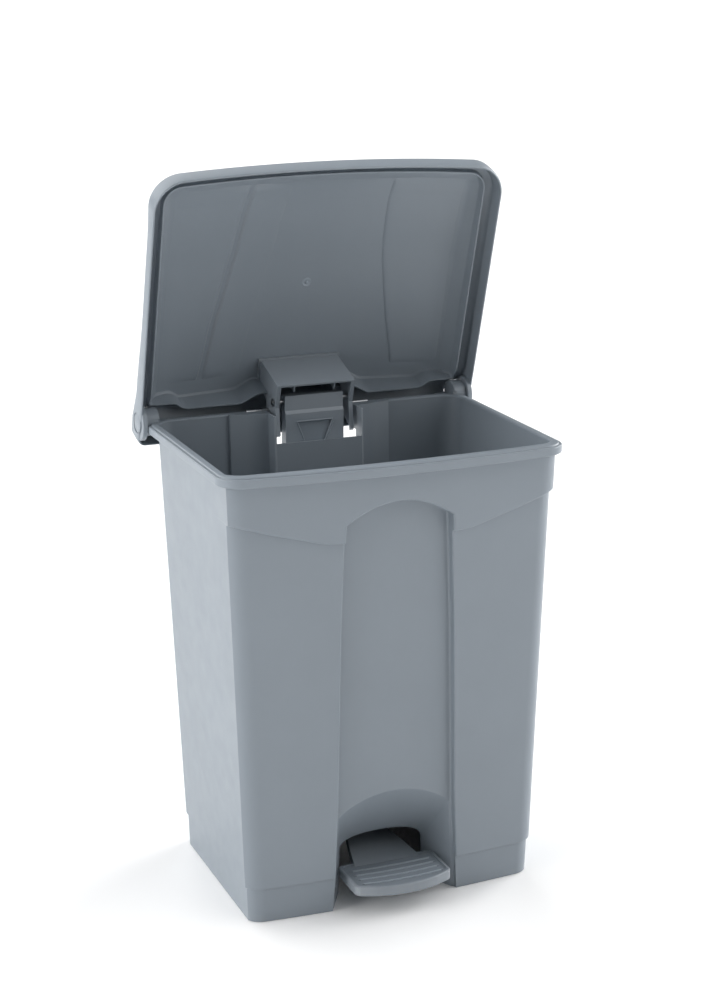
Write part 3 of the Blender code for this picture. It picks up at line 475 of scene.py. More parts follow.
def collar_row(delta, proud):
    """One row of the wall that runs along the collar's lower edge."""
    edge_plan = body_plan(COLLAR_CORNER_Z + delta, 0.0, proud)
    row = []
    for k, (x, y) in enumerate(edge_plan):
        z = COLLAR_CORNER_Z + delta
        if k <= FRONT_COLUMNS + ARC_COLUMNS:
            z = collar_edge(x) + delta
            x, y = body_plan(z, 0.0, proud)[k]
        row.append((x, y, z))
    return row


def mixed_row(low, high, share):
    return [tuple(a + (b - a) * share for a, b in zip(p, q)) for p, q in zip(low, high)]


def outer_wall():
    """Rows of the outside from the foot to the rim's top."""
    rings = [level(skirt_plan(0.0, 0.0010), 0.0), level(skirt_plan(0.0008), 0.0008)]
    rings += [level(skirt_plan(z), z) for z in (0.0200, 0.0400, 0.0478, 0.0486)]
    rings.append(level(skirt_plan(0.0488, 0.0005), 0.0488))
    rings.append(level(skirt_plan(0.0491, 0.0005), 0.0491))
    rings.append(level(body_plan(SKIRT_TOP, 0.0008), 0.0494))
    rings.append(level(body_plan(SKIRT_TOP, 0.0002), 0.0500))
    rings += [level(body_plan(z), z) for z in (0.0510, 0.0800, 0.1300, 0.2000, 0.2800, 0.3600, 0.4300,
                                               0.4750, 0.4850, 0.4930, 0.5000, 0.5060)]
    for delta, proud in COLLAR_SECTION:
        rings.append(whole(collar_row(delta, proud)))
    low_row = collar_row(*COLLAR_SECTION[-1])
    top_z = LIP_LOW - 0.0022
    high_row = [(x, y, top_z) for x, y in body_plan(top_z, 0.0, COLLAR_STEP)]
    rings += [whole(mixed_row(low_row, high_row, i / 18)) for i in range(1, 19)]
    rings.append(level(body_plan(LIP_LOW, -0.0004, COLLAR_STEP), LIP_LOW - 0.0006))
    rings.append(level(body_plan(LIP_LOW, -0.0016, COLLAR_STEP), LIP_LOW))
    for inset, rise in ((0.0030, 0.0), (0.0014, 0.0002), (0.0005, 0.0008), (0.0001, 0.0017),
                        (0.0, 0.0028), (0.0, 0.0095), (0.0003, 0.0104), (0.0011, 0.0111), (0.0021, 0.0114),
                        (0.0030, 0.0114), (0.0032, 0.0109), (0.0036, 0.0109), (0.0039, 0.0120),
                        (0.0046, 0.0129), (0.0056, 0.0134), (0.0068, LIP_HEIGHT), (0.0092, LIP_HEIGHT)):
        rings.append(level(lip_plan(inset), LIP_LOW + rise))
    return rings


def inner_rows(low, high_wall, bottom_fillet):
    """Rows of the hollow that holds the waste, flared at the rim and rounded at the floor."""
    rings = []
    for inset, rise in bottom_fillet:
        rings.append(level(body_plan(low, WALL + inset), low + rise))
    rings += [level(body_plan(z, WALL), z) for z in (0.20, 0.32, 0.44, 0.54, high_wall)]
    for inset, drop in ((-0.0004, 0.0024), (-0.0014, 0.0011), (-0.0028, 0.0003), (-0.0042, -0.0001),
                        (-0.0050, -0.0050)):
        rings.append(level(body_plan(LIP_LOW, WALL + inset), RIM_TOP - drop))
    return rings


# right side of the recess from its foot to the spring of its arch: (x, z)
RECESS_SIDE = ((0.0925, -0.020), (0.0880, 0.053), (0.0845, 0.140), (0.0800, 0.390), (0.0760, 0.500),
               (0.0742, 0.541))


def arch_outline(side, apex, power=1.0, steps=36, every=0.006):
    """Closed outline in (x, z): right side upwards, an arch, and its mirror."""
    xs, zs = zip(*side)
    tall = zs[-1] - zs[0]
    count = round(tall / every)
    right = []
    for i in range(count + 1):
        z = zs[0] + tall * i / count
        right.append((float(np.interp(z, zs, xs)), z))
    spring_x, spring_z = right[-1]
    crown = []
    for i in range(1, 2 * steps):
        x = spring_x * math.cos(math.pi * i / (2 * steps))
        crown.append((x, spring_z + (apex - spring_z) * max(0.0, 1 - (x / spring_x) ** 2) ** power))
    return right + crown + [(-x, z) for x, z in reversed(right)]


def grown(outline, amount):
    """Outline moved outwards along its own normals; its open foot stays level."""
    count = len(outline)
    moved = []
    for i, (x, z) in enumerate(outline):
        before = outline[max(0, i - 1)]
        after = outline[min(count - 1, i + 1)]
        dx, dz = after[0] - before[0], after[1] - before[1]
        length = math.hypot(dx, dz)
        moved.append((x + amount * dz / length, z - amount * dx / length))
    return moved


def face_y(x, z):
    """Front face of the bin, with its collar."""
    share = body_share(z)
    half = BASE_HALF + (TOP_HALF - BASE_HALF) * share
    front = BASE_FRONT + (TOP_FRONT - BASE_FRONT) * share
    return front + BODY_BOW * (x / half) ** 2 - collar_proud(x, z)


def recess_outline(growth):
    """Outline of the recess, larger all round by growth; its side points are dense at the collar."""
    spring_x, spring_z = RECESS_SIDE[-1]
    slope = 2 * (RECESS_APEX_Z - spring_z) / spring_x
    spring = spring_z + growth * (math.sqrt(1 + slope ** 2) - slope)
    heights = [-0.020 + 0.008 * k for k in range(66)] + [0.5134 + 0.0006 * k for k in range(24)]
    heights = sorted(heights) + [0.5320, 0.5350, spring]
    xs, zs = zip(*RECESS_SIDE)
    right = [(float(np.interp(z, zs, xs)) + growth, z) for z in heights]
    half = right[-1][0]
    crown = []
    for i in range(1, 80):
        x = half * (1 - i / 40)
        crown.append((x, spring + (RECESS_APEX_Z + growth - spring) * (1 - (x / half) ** 2)))
    return right + crown + [(-x, z) for x, z in reversed(right)]


def recess_cutter():
    """Arched recess with a hollowed corner at its floor and a rounded front edge."""
    rings = []
    for k in range(0, 6):
        a = math.pi / 2 * k / 5
        ring = recess_outline(-RECESS_HOLLOW * (1 - math.sin(a)))
        rings.append([(x, RECESS_FLOOR_Y - RECESS_HOLLOW * (1 - math.cos(a)), z) for x, z in ring])
    for k in range(0, 6):
        a = math.radians(78.0) * k / 5
        ring = recess_outline(RECESS_EDGE * (1 - math.cos(a)))
        rings.append([(x, face_y(x, z) + RECESS_EDGE * (1 - math.sin(a)), z) for x, z in ring])
    ring = recess_outline(RECESS_EDGE + 0.0040)
    rings.append([(x, face_y(x, z) - 0.0020, z) for x, z in ring])
    rings.append([(x, FAR_FRONT, z) for x, z in ring])
    return solid("recess_cutter", [rings])


def recess_lining():
    """The recess with one wall round it, which the inside leaves standing."""
    outline = grown(arch_outline(RECESS_SIDE, RECESS_APEX_Z, every=0.02, steps=12), WALL)
    return solid("recess_lining", [prism('Y', outline, FAR_FRONT, RECESS_FLOOR_Y + WALL)])


def pocket_outlines(grow):
    """Outlines of the foot pocket at its mouth and at its throat, with equal counts of points."""
    mouth = arch_outline(((0.0920 + grow, -0.02), (0.0845 + grow, 0.137)), POCKET_APEX_Z + grow,
                         POCKET_ARCH_POWER, every=0.0157)
    throat = arch_outline(((0.0620 + grow, -0.02), (0.0600 + grow, 0.048)), THROAT_APEX_Z + grow,
                          THROAT_ARCH_POWER, every=0.0068)
    return mouth, throat


def pocket_section(mouth, throat, y, grow):
    share = (y - POCKET_MOUTH) / (POCKET_BACK - POCKET_MOUTH)
    return grown(mixed_row(mouth, throat, share), grow)


def pocket_cutter():
    """Foot pocket: an arched mouth with a soft edge, narrowing to the opening for the lever."""
    mouth, throat = pocket_outlines(0.0)
    rings = []
    for y, grow in ((-0.1452, 0.0016), (-0.1441, 0.0012), (-0.1434, 0.0006), (-0.1424, 0.0),
                    (-0.1300, 0.0), (-0.1180, 0.0), (-0.1080, 0.0), (-0.1000, 0.0), (-0.0985, 0.0003),
                    (POCKET_BACK, 0.0008), (POCKET_BACK + 0.0010, 0.0012),
                    (POCKET_BACK + 0.0200, 0.0012)):
        section = pocket_section(mouth, throat, min(y, POCKET_BACK), grow)
        rings.append([(x, y, z) for x, z in section])
    rings.insert(0, [(x, FAR_FRONT, z) for x, _, z in rings[0]])
    return solid("pocket_cutter", [rings])


def pocket_lining(name):
    """The foot pocket with one wall round it."""
    mouth, throat = pocket_outlines(WALL)
    rings = [[(x, y, z) for x, z in outline]
             for outline, y in ((mouth, FAR_FRONT), (mouth, POCKET_MOUTH), (throat, POCKET_BACK))]
    return solid(name, [rings])


def channel(name, grow, low, high):
    """Rear channel with sloped shoulders and a rounded inner corner."""
    def ring(z):
        back = body_back(z)
        side = [(CHANNEL_MOUTH_HALF + grow, back + CLEAR),
                (CHANNEL_MOUTH_HALF + grow, back - 0.0050 - grow),
                (0.0950 + grow, back - 0.0110 - grow), (0.0700 + grow, back - 0.0160 - grow),
                (CHANNEL_HALF + 0.0010 + grow, back - 0.0176 - grow),
                (CHANNEL_HALF + grow, back - 0.0200 - grow),
                (CHANNEL_HALF + grow, back - CHANNEL_DEPTH + 0.0030 - grow),
                (CHANNEL_HALF - 0.0009 + grow, back - CHANNEL_DEPTH + 0.0009 - grow),
                (CHANNEL_HALF - 0.0030 + grow, back - CHANNEL_DEPTH - grow)]
        return [(x, y, z) for x, y in side] + [(-x, y, z) for x, y in reversed(side)]
    return solid(name, [[ring(low), ring(high)]])


def ear(side):
    """Rounded ear at the rear corner of the rim that carries the knuckle."""
    foot = LIP_LOW + 0.0002
    top = HINGE_Z - 0.0005
    outline = [(EAR_FRONT, foot), (EAR_BACK - 0.0070, foot), (EAR_BACK - 0.0047, foot + 0.0006),
               (EAR_BACK - 0.0019, foot + 0.0036), (EAR_BACK - 0.0011, foot + 0.0058),
               (EAR_BACK, top), (EAR_FRONT, top)]
    return solid("ear_" + side_name(side),
                 [prism('X', outline, side * EAR_IN, side * (KNUCKLE_OUT - 0.0006))])


def knuckle(side):
    """Round hinge knuckle on top of an ear, with softened rims."""
    r = KNUCKLE_RADIUS
    profile = ((KNUCKLE_IN, r - 0.0016), (KNUCKLE_IN + 0.0004, r - 0.0006), (KNUCKLE_IN + 0.0014, r),
               (KNUCKLE_OUT - 0.0010, r), (KNUCKLE_OUT - 0.0003, r - 0.0004), (KNUCKLE_OUT, r - 0.0011))
    return solid("knuckle_" + side_name(side),
                 [lathe_x((HINGE_Y, HINGE_Z), [(side * x, radius) for x, radius in profile])])


def arc(centre, radius, start_deg, end_deg, steps):
    angles = [math.radians(start_deg + (end_deg - start_deg) * i / steps) for i in range(steps + 1)]
    return [(centre[0] + radius * math.cos(a), centre[1] + radius * math.sin(a)) for a in angles]


def stub_ledge():
    """Cutter for the rounded ledges under the stub pins."""
    radius = STUB_RADIUS + 0.0006
    top = RIM_TOP + CLEAR
    behind = LIP_BACK + CLEAR
    outline = [(HINGE_Y - radius, top)] + arc((HINGE_Y, HINGE_Z), radius, 180, 270, 10)
    outline += [(behind, HINGE_Z - radius), (behind, top)]
    return solid("stub_ledge", [prism('X', outline, -LEDGE_HALF, LEDGE_HALF)])


def inner_space(low):
    """The hollow for the waste, less the walls that stand in it."""
    floor_fillet = ((0.0060, 0.0), (0.0028, 0.0007), (0.0008, 0.0027), (0.0, 0.0060))
    space = solid("inner_space", [inner_rows(low, RIM_TOP - 0.0040, floor_fillet)])
    cut(space, recess_lining())
    cut(space, pocket_lining("pocket_lining"))
    cut(space, channel("channel_lining", WALL, -CLEAR, RIM_TOP + CLEAR))
    return space


def under_space(high):
    """The hollow under the floor."""
    rings = [level(skirt_plan(0.0, WALL), -0.01), level(skirt_plan(SKIRT_TOP, WALL), SKIRT_TOP),
             level(body_plan(high, WALL + SKIRT_STEP), high)]
    under = solid("under_space", [rings])
    cut(under, pocket_lining("pocket_under_lining"))
    return under


def make_bin():
    body = solid("bin_skin", [outer_wall()])
    for side in SIDES:
        fuse(body, ear(side))
        fuse(body, knuckle(side))
    cut(body, recess_cutter())
    floor_top = FLOOR_Z + WALL / 2
    cut(body, inner_space(floor_top))
    cut(body, under_space(FLOOR_Z - WALL / 2))
    cut(body, pocket_cutter())
    cut(body, channel("channel_cutter", 0.0, floor_top, SHELF_BOTTOM))
    opening_front = body_back(FLOOR_Z) - CHANNEL_DEPTH + 0.0020
    cut(body, solid("lever_opening", [box((-LEVER_OPENING_HALF, opening_front, FLOOR_Z - 0.01),
                                          (LEVER_OPENING_HALF, BASE_BACK - 0.0035, FLOOR_Z + 0.01))]))
    notch_front = body_back(NOTCH_BOTTOM) - CHANNEL_DEPTH - 0.010
    cut(body, solid("notch", [box((-CHANNEL_HALF, notch_front, NOTCH_BOTTOM),
                                  (CHANNEL_HALF, LIP_BACK + CLEAR, RIM_TOP + CLEAR))]))
    pads = [box((side * SADDLE_X - PAD_HALF, -SADDLE_LENGTH / 2, FLOOR_Z - PAD_DEPTH),
                (side * SADDLE_X + PAD_HALF, SADDLE_LENGTH / 2, FLOOR_Z)) for side in SIDES]
    fuse(body, solid("screw_pads", pads))
    reach = SADDLE_LENGTH / 2 - 0.0070
    holes = [bar_z(side * SADDLE_X, end * reach, SCREW_RADIUS + GAP, 0.0, FLOOR_Z - 0.0005)
             for side in SIDES for end in SIDES]
    cut(body, solid("pad_holes", holes))
    for side in SIDES:
        bore = bar_x((HINGE_Y, HINGE_Z), BUSH_RADIUS + GAP, side * (KNUCKLE_IN + 0.004), side * FAR_SIDE)
        cut(body, solid("bush_bore_" + side_name(side), [bore]))
    cut(body, stub_ledge())
    settle(body, BODY_PLACE, bin_plastic)
    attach(body, "bin")
    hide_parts("bin_body")


# ---- lid: x across, v from the hinge axis to the front, heights square to the closed rim ----
# rise of the lid's top with the distance from its sides and front, and from its rear
EDGE_PROFILE = ((0.0, 0.0), (0.0080, 0.09), (0.0235, 0.28), (0.0360, 0.60), (0.0600, 0.77),
                (0.1000, 0.89), (0.1500, 1.0))
REAR_PROFILE = ((0.0, 0.03), (0.0060, 0.10), (0.0160, 0.35), (0.0260, 0.585), (0.0360, 0.78),
                (0.0450, 0.92), (0.0560, 0.963), (0.0760, 1.0))


def profile_rise(distance, stations, soften=0.0):
    """Height share at a distance from an edge, softened over a short stretch if asked."""
    ds, rises = zip(*stations)
    if not soften:
        return float(np.interp(distance, ds, rises))
    return sum(float(np.interp(distance + soften * k / 2, ds, rises)) for k in range(-2, 3)) / 5


def lid_top(x, v, soften=0.0):
    """Height of the lid's top face."""
    side = LID_HALF - abs(x)
    front = LID_FRONT - LID_BOW * (x / LID_HALF) ** 2 - v
    edge_change = LID_HINGE_RISE * smooth_share((0.040 - v) / 0.040) * smooth_share(1 - side / 0.016)
    fall = smooth_share(share_between(v, 0.050, 0.160))
    fall *= smooth_share(share_between(front, 0.020, 0.080))
    edge_change -= LID_SIDE_FALL * fall * smooth_share(1 - side / 0.010)
    crown = LID_CROWN - LID_FRONT_DROP * max(0.0, (v - 0.17) / 0.20) ** 2
    rise = profile_rise(side, EDGE_PROFILE, soften) * profile_rise(front, EDGE_PROFILE, soften)
    rise *= profile_rise(v + LID_REAR, REAR_PROFILE, soften)
    return LID_EDGE_TOP + edge_change + (crown - LID_EDGE_TOP) * rise


def lid_outside(x, v):
    return lid_top(x, v, 0.004) - 0.0003


def lid_under(x, v):
    return lid_top(x, v) - LID_THICK - 0.0007


def skirt_bottom(x, v):
    tail = smooth_share(share_between(v, 0.030, -0.020))
    return LID_SKIRT_BOTTOM + (LID_TAIL_BOTTOM - LID_SKIRT_BOTTOM) * tail


def rear_step(x):
    """How far the inner rear wall stands forward: beside the bracket and beside the knuckles."""
    beside = share_between(abs(x), 0.0960, 0.0720) * share_between(abs(x), 0.0405, 0.0430)
    return STEP_BRACKET * beside + STEP_KNUCKLE * share_between(abs(x), 0.1800, 0.1930)


def rib_bottom(x, v):
    """Lower edge of the sealing rib on the lid's inside, which rises towards the hinge."""
    rear = smooth_share(share_between(v - rear_step(x), 0.030, 0.0135))
    return RIB_BOTTOM + (RIB_REAR_BOTTOM - RIB_BOTTOM) * rear


def lid_ring(side, front, rear, height, rise=0.0, step=0.0):
    """Ring of the lid, inset from its plan by side, front and rear, on the surface height(x, v)."""
    back = LID_REAR - rear
    plan = half_plan(LID_HALF - side, -LID_FRONT + front, back, max(LID_RADIUS - side, 0.020),
                     LID_BOW, 0.0, max(LID_REAR_RADIUS - rear, 0.004))
    plan = [(x, y - step * rear_step(x) * share_between(y, -0.070, back)) for x, y in plan]
    return whole([(x, y, height(x, -y) + rise) for x, y in plan])


def lid_rings():
    """Rings from the middle of the lid's inside over the rib and the skirt to the middle of its top."""
    rings = []
    for d in (0.190, 0.170, 0.150, 0.130, 0.115, 0.100, 0.085, 0.072, 0.060, 0.052, 0.044, 0.0385,
              0.0360, 0.0340, 0.0300, 0.0265, 0.0235):
        rings.append(lid_ring(d, d - 0.0035, 0.0480 + (d - 0.0235) * 0.30, lid_under,
                              step=share_between(d, 0.0720, 0.0235)))
    rings.append(lid_ring(0.0226, 0.0195, 0.0452, lambda x, v: lid_under(x, v) - 0.0016, step=1.0))
    for side, front, rear, rise in ((0.0218, 0.0180, 0.0435, 0.0010), (0.0215, 0.0177, 0.0432, 0.0002),
                                    (0.0209, 0.0172, 0.0427, 0.0), (0.0199, 0.0162, 0.0417, 0.0),
                                    (0.0194, 0.0157, 0.0412, 0.0003), (0.0192, 0.0155, 0.0410, 0.0012)):
        rings.append(lid_ring(side, front, rear, rib_bottom, rise, step=1.0))
    rings.append(lid_ring(0.0187, 0.0150, 0.0404, lambda x, v: lid_under(x, v) - 0.0026, step=1.0))
    for side, front, rear, rise in ((0.0178, 0.0142, 0.0393, -0.0006), (0.0165, 0.0130, 0.0370, 0.0),
                                    (0.0135, 0.0105, 0.0300, 0.0), (0.0090, 0.0075, 0.0170, 0.0),
                                    (0.0066, 0.0062, 0.0080, 0.0), (0.0053, 0.0053, 0.0048, -0.0008),
                                    (0.0047, 0.0047, 0.0039, -0.0026)):
        rings.append(lid_ring(side, front, rear, lid_under, rise))
    for side, front, rear, rise in ((0.0038, 0.0038, 0.0031, 0.0010), (0.0034, 0.0034, 0.0027, 0.0002),
                                    (0.0028, 0.0028, 0.0022, 0.0), (0.0020, 0.0020, 0.0016, 0.0001),
                                    (0.0013, 0.0013, 0.0010, 0.0008), (0.0008, 0.0008, 0.0006, 0.0022)):
        rings.append(lid_ring(side, front, rear, skirt_bottom, rise))
    rings.append(lid_ring(0.0001, 0.0001, 0.0001, lambda x, v: skirt_bottom(x, v) + 0.0105))
    for side, front, rear, rise in ((0.0004, 0.0004, 0.0003, -0.0024), (0.0009, 0.0009, 0.0006, -0.0011),
                                    (0.0018, 0.0018, 0.0013, -0.0003), (0.0032, 0.0032, 0.0024, 0.0)):
        rings.append(lid_ring(side, front, rear, lid_outside, rise))
    for d, rear in ((0.0055, 0.0050), (0.0080, 0.0080), (0.0120, 0.0135), (0.0160, 0.0190),
                    (0.0200, 0.0240), (0.0235, 0.0285), (0.0270, 0.0330), (0.0300, 0.0370),
                    (0.0330, 0.0410), (0.0360, 0.0450), (0.0400, 0.0472), (0.0460, 0.0500),
                    (0.0530, 0.0530), (0.0600, 0.0560), (0.0700, 0.0590), (0.0800, 0.0620),
                    (0.0900, 0.0650), (0.1000, 0.0680), (0.1150, 0.0730), (0.1300, 0.0770),
                    (0.1500, 0.0830), (0.1700, 0.0890), (0.1900, 0.0950)):
        rings.append(lid_ring(d, d, rear, lid_outside))
    return rings


def add_disc(lid, side):
    """Round disc on the lid's side that turns on the hinge pin, with room for knuckle and cap."""
    name = side_name(side)
    room = bar_x((0.0, 0.0), KNUCKLE_RADIUS + 0.0025, side * 0.2205, side * (KNUCKLE_OUT + 0.0004))
    cut(lid, solid("knuckle_room_" + name, [room]))
    r = DISC_RADIUS
    profile = ((DISC_IN, r - 0.0006), (DISC_IN + 0.0006, r), (DISC_OUT - 0.0016, r),
               (DISC_OUT - 0.0006, r - 0.0005), (DISC_OUT - 0.0001, r - 0.0014), (DISC_OUT, r - 0.0026),
               (DISC_OUT - 0.0001, CAP_RADIUS + 0.0030), (DISC_OUT - 0.0005, CAP_RADIUS + 0.0016))
    disc = lathe_x((0.0, 0.0), [(side * x, radius) for x, radius in profile])
    fuse(lid, solid("disc_" + name, [disc]))
    bore = bar_x((0.0, 0.0), HINGE_PIN_RADIUS + GAP, side * (DISC_IN - 0.001), side * FAR_SIDE)
    cut(lid, solid("disc_bore_" + name, [bore]))
    seat = bar_x((0.0, 0.0), CAP_RADIUS + GAP, side * (DISC_OUT - CAP_SINK), side * FAR_SIDE)
    cut(lid, solid("cap_seat_" + name, [seat]))


def make_lid():
    middle = (LID_REAR - LID_FRONT) / 2
    top = lid_outside(0.0, -middle)
    lid = solid("lid_skin", [lid_rings()], ((0.0, middle, top - LID_THICK), (0.0, middle, top)))
    pad = box((-BRACKET_HALF - 0.003, -BRACKET_FRONT - 0.006, BRACKET_ROOT),
              (BRACKET_HALF + 0.003, -0.0160, LID_CROWN - 0.0035))
    fuse(lid, solid("lid_pad", [pad]))
    for side in SIDES:
        add_disc(lid, side)
    hole_top = BRACKET_ROOT + BRACKET_SCREW_REACH
    holes = [bar_z(side * BRACKET_SCREW_X, -v, SCREW_RADIUS + GAP, 0.0, hole_top)
             for side in SIDES for v in BRACKET_SCREW_V]
    cut(lid, solid("lid_screw_holes", holes))
    settle(lid, LID_PLACE, lid_plastic)
    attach(lid, "lid")
    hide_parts("lid_shell")


# lines that bound the slightly sunk middle of the lid's inside: (x, v)
LEFT_CREASE = ((-0.1005, 0.3450), (-0.1088, 0.2872), (-0.1151, 0.2282), (-0.1286, 0.1615),
               (-0.1383, 0.1170), (-0.1489, 0.0474), (-0.1520, 0.0250))
RIGHT_CREASE = ((0.1035, 0.3450), (0.1015, 0.2978), (0.1064, 0.2214), (0.1160, 0.1596),
                (0.1247, 0.1112), (0.1363, 0.0619), (0.1420, 0.0250))
# section of each land, from its crease outwards: (share of its width, height share)
LAND_SECTION = {
    "left": ((0.0, -0.6), (0.012, 0.05), (0.024, 0.6), (0.036, 1.15), (0.048, 1.7), (0.058, 2.0),
             (0.070, 2.1), (0.090, 2.0), (0.12, 1.75), (0.17, 1.4), (0.26, 1.0), (0.5, 0.8),
             (0.7, 0.6), (0.85, 0.3), (0.95, 0.0), (1.0, -0.6)),
    "middle": ((0.0, -0.6), (0.020, 0.05), (0.035, 0.6), (0.050, 1.2), (0.065, 1.75), (0.080, 2.05),
               (0.11, 2.1), (0.18, 1.9), (0.30, 1.4), (0.50, 0.75), (0.75, 0.25), (0.95, 0.0),
               (1.0, -0.6)),
    "right": ((0.0, -0.6), (0.007, 0.1), (0.014, 0.45), (0.022, 0.8), (0.032, 1.05), (0.046, 1.2),
              (0.080, 1.25), (0.14, 1.15), (0.25, 1.0), (0.5, 1.0), (0.7, 0.8), (0.85, 0.4),
              (0.95, 0.0), (1.0, -0.6)),
}


def make_lid_land(name, crease, outer_edge):
    """Thin raised land on the lid's inside, from a long crease to outer_edge(x of the crease)."""
    xs, vs = zip(*sorted(crease, key=lambda pair: pair[1]))
    rows = []
    count = 70
    for i in range(count + 1):
        v = LAND_REAR + (LAND_FRONT - LAND_REAR) * i / count
        inner = float(np.interp(v, vs, xs))
        width = outer_edge(inner) - inner
        ends = smooth_share(share_between(v, LAND_REAR, LAND_REAR + LAND_RUNOUT))
        ends *= smooth_share(share_between(v, LAND_FRONT, LAND_FRONT - LAND_RUNOUT))
        row = []
        for share, drop in LAND_SECTION[name]:
            x = inner + width * share
            row.append((x, -v, lid_under(x, v) - LAND_HEIGHT * drop * ends + 0.0005 * (1 - ends)))
        for share in (0.9, 0.7, 0.4, 0.1):
            x = inner + width * share
            row.append((x, -v, lid_under(x, v) + 0.0016))
        rows.append(row)
    land = solid("lid_land_" + name, [rows])
    settle(land, LID_PLACE, lid_plastic)
    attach(land, "lid")


def make_gate_mark():
    """Small moulding mark in the middle of the lid's inside, from (radius, drop) stations, in a paler
    colour that is a painted highlight.
    """
    rings = []
    for radius, drop in ((0.0072, -0.0008), (0.0070, 0.0001), (0.0062, 0.0006), (0.0054, 0.0005),
                         (0.0040, 0.0001), (0.0026, 0.0001), (0.0022, 0.0008), (0.0014, 0.0014),
                         (0.0006, 0.0016)):
        rings.append([(x, y, lid_under(x, -y) - drop) for x, y in circle((0.0, -GATE_V), radius, 36)])
    mark = solid("gate_mark", [rings])
    settle(mark, LID_PLACE, gate_highlight_plastic)
    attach(mark, "lid")


def make_caps():
    """Slightly domed caps that close the discs."""
    profile = ((DISC_OUT - CAP_SINK + GAP, CAP_RADIUS - 0.0004), (DISC_OUT + 0.0002, CAP_RADIUS),
               (DISC_OUT + 0.0008, CAP_RADIUS - 0.0001), (DISC_OUT + 0.0014, CAP_RADIUS - 0.0007),
               (DISC_OUT + 0.0018, CAP_RADIUS - 0.0020), (DISC_OUT + 0.0020, CAP_RADIUS - 0.0042),
               (DISC_OUT + 0.0021, CAP_RADIUS - 0.0075), (DISC_OUT + 0.00215, CAP_RADIUS - 0.0110))
    for side in SIDES:
        cap = solid("cap_" + side_name(side), [lathe_x((0.0, 0.0), [(side * x, r) for x, r in profile])])
        settle(cap, LID_PLACE, lid_plastic)
        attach(cap, "lid")
        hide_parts("hinge_cap_" + side_name(side))


# ---- raised border round the dished panel of the push rod's head, paler as a painted highlight ----
PANEL_FACE_Y = 0.1420
PANEL_TOP = (0.0268, 0.6050)
PANEL_FOOT = (0.0121, 0.5670)
BEAD_RADIUS = 0.0008


def bead(start, end, radius):
    """Slim rounded bar between two (x, z) places on the plate's face."""
    length = math.hypot(end[0] - start[0], end[1] - start[1])
    along = ((end[0] - start[0]) / length, (end[1] - start[1]) / length)
    rings = []
    for step, share in ((-radius * 0.8, 0.4), (-radius * 0.4, 0.85), (0.0, 1.0), (length, 1.0),
                        (length + radius * 0.4, 0.85), (length + radius * 0.8, 0.4)):
        centre = (start[0] + along[0] * step, start[1] + along[1] * step)
        ring = []
        for k in range(12):
            a = 2 * math.pi * k / 12
            across = radius * share * math.cos(a)
            ring.append((centre[0] - along[1] * across, PANEL_FACE_Y + radius * share * math.sin(a),
                         centre[1] + along[0] * across))
        rings.append(ring)
    return rings


def make_panel_border():
    """Three beads round the dished panel, and a fourth just outside its right edge; their paler colour is
    a painted highlight.
    """
    corners = (PANEL_FOOT, PANEL_TOP, (-PANEL_TOP[0], PANEL_TOP[1]), (-PANEL_FOOT[0], PANEL_FOOT[1]))
    outer = (PANEL_FOOT[0] + 0.0030, PANEL_FOOT[1]), (PANEL_TOP[0] + 0.0024, PANEL_TOP[1] - 0.0016)
    for number, (start, end) in enumerate(list(zip(corners, corners[1:])) + [outer], 1):
        piece = solid("panel_border_%d" % number, [bead(start, end, BEAD_RADIUS)])
        settle(piece, BODY_PLACE, border_highlight_plastic)
        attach(piece, "rod")


# ---- grip ribs on the pedal ----
TREAD_HALF = 0.0700
TREAD_FRONT = -0.1980
TREAD_CORNER = -0.1810
TREAD_TOP = 0.0460
RIB_COUNT = 4
RIB_FIRST = 0.0185
RIB_PITCH = 0.0140
RIB_WIDTH = 0.0024


def make_tread_ribs():
    """Rounded caps, paler than the tread, on the four ribs of the tread."""
    half = TREAD_HALF - 0.0112
    for index in range(RIB_COUNT):
        middle = TREAD_FRONT + RIB_FIRST + index * RIB_PITCH
        rings = []
        for i in range(41):
            share = i / 40
            x = half * (2 * share - 1)
            bow = (TREAD_CORNER - TREAD_FRONT) * (x / TREAD_HALF) ** 2 * (0.35 - 0.05 * index)
            end = math.sqrt(max(0.02, 1 - max(0.0, abs(2 * share - 1) - 0.96) ** 2 / 0.04 ** 2))
            ring = []
            for k in range(12):
                a = 2 * math.pi * k / 12
                ring.append((x, middle + bow + (RIB_WIDTH / 2 + 0.0001) * end * math.cos(a),
                             TREAD_TOP - 0.0009 + 0.0011 * end * math.sin(a)))
            rings.append(ring)
        rib = solid("tread_rib_%d" % (index + 1), [rings])
        settle(rib, BODY_PLACE, rib_plastic)
        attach(rib, "pedal")


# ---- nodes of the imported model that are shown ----
def dress(name, mat, bevel=0.0, segments=3):
    """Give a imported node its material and, if asked, softened edges."""
    node = bpy.data.objects[name]
    node.data.materials.clear()
    node.data.materials.append(mat)
    if bevel:
        modifier = node.modifiers.new("soft_edges", 'BEVEL')
        modifier.width = bevel
        modifier.segments = segments
        modifier.limit_method = 'ANGLE'
        modifier.angle_limit = BEVEL_ANGLE


def dress_nodes():
    for name in ("push_rod_guide", "axle_saddle_left", "axle_saddle_right", "push_rod_foot"):
        dress(name, works_plastic, 0.0005)
    dress("lid_bracket", works_plastic, 0.0007)
    dress("push_rod_head", works_plastic, 0.0006)
    dress("pedal", pedal_plastic, 0.0005)
    for side in SIDES:
        dress("hinge_bush_" + side_name(side), nylon, 0.0003, 2)
    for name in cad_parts:
        if "screw" in name:
            dress(name, screw_metal)
        elif "clip" in name:
            dress(name, pin_metal)
        elif name == "push_rod":
            dress(name, rod_metal)
        elif name.endswith(("pin", "axle")) or "_pin_" in name:
            dress(name, pin_metal, 0.0003, 2)


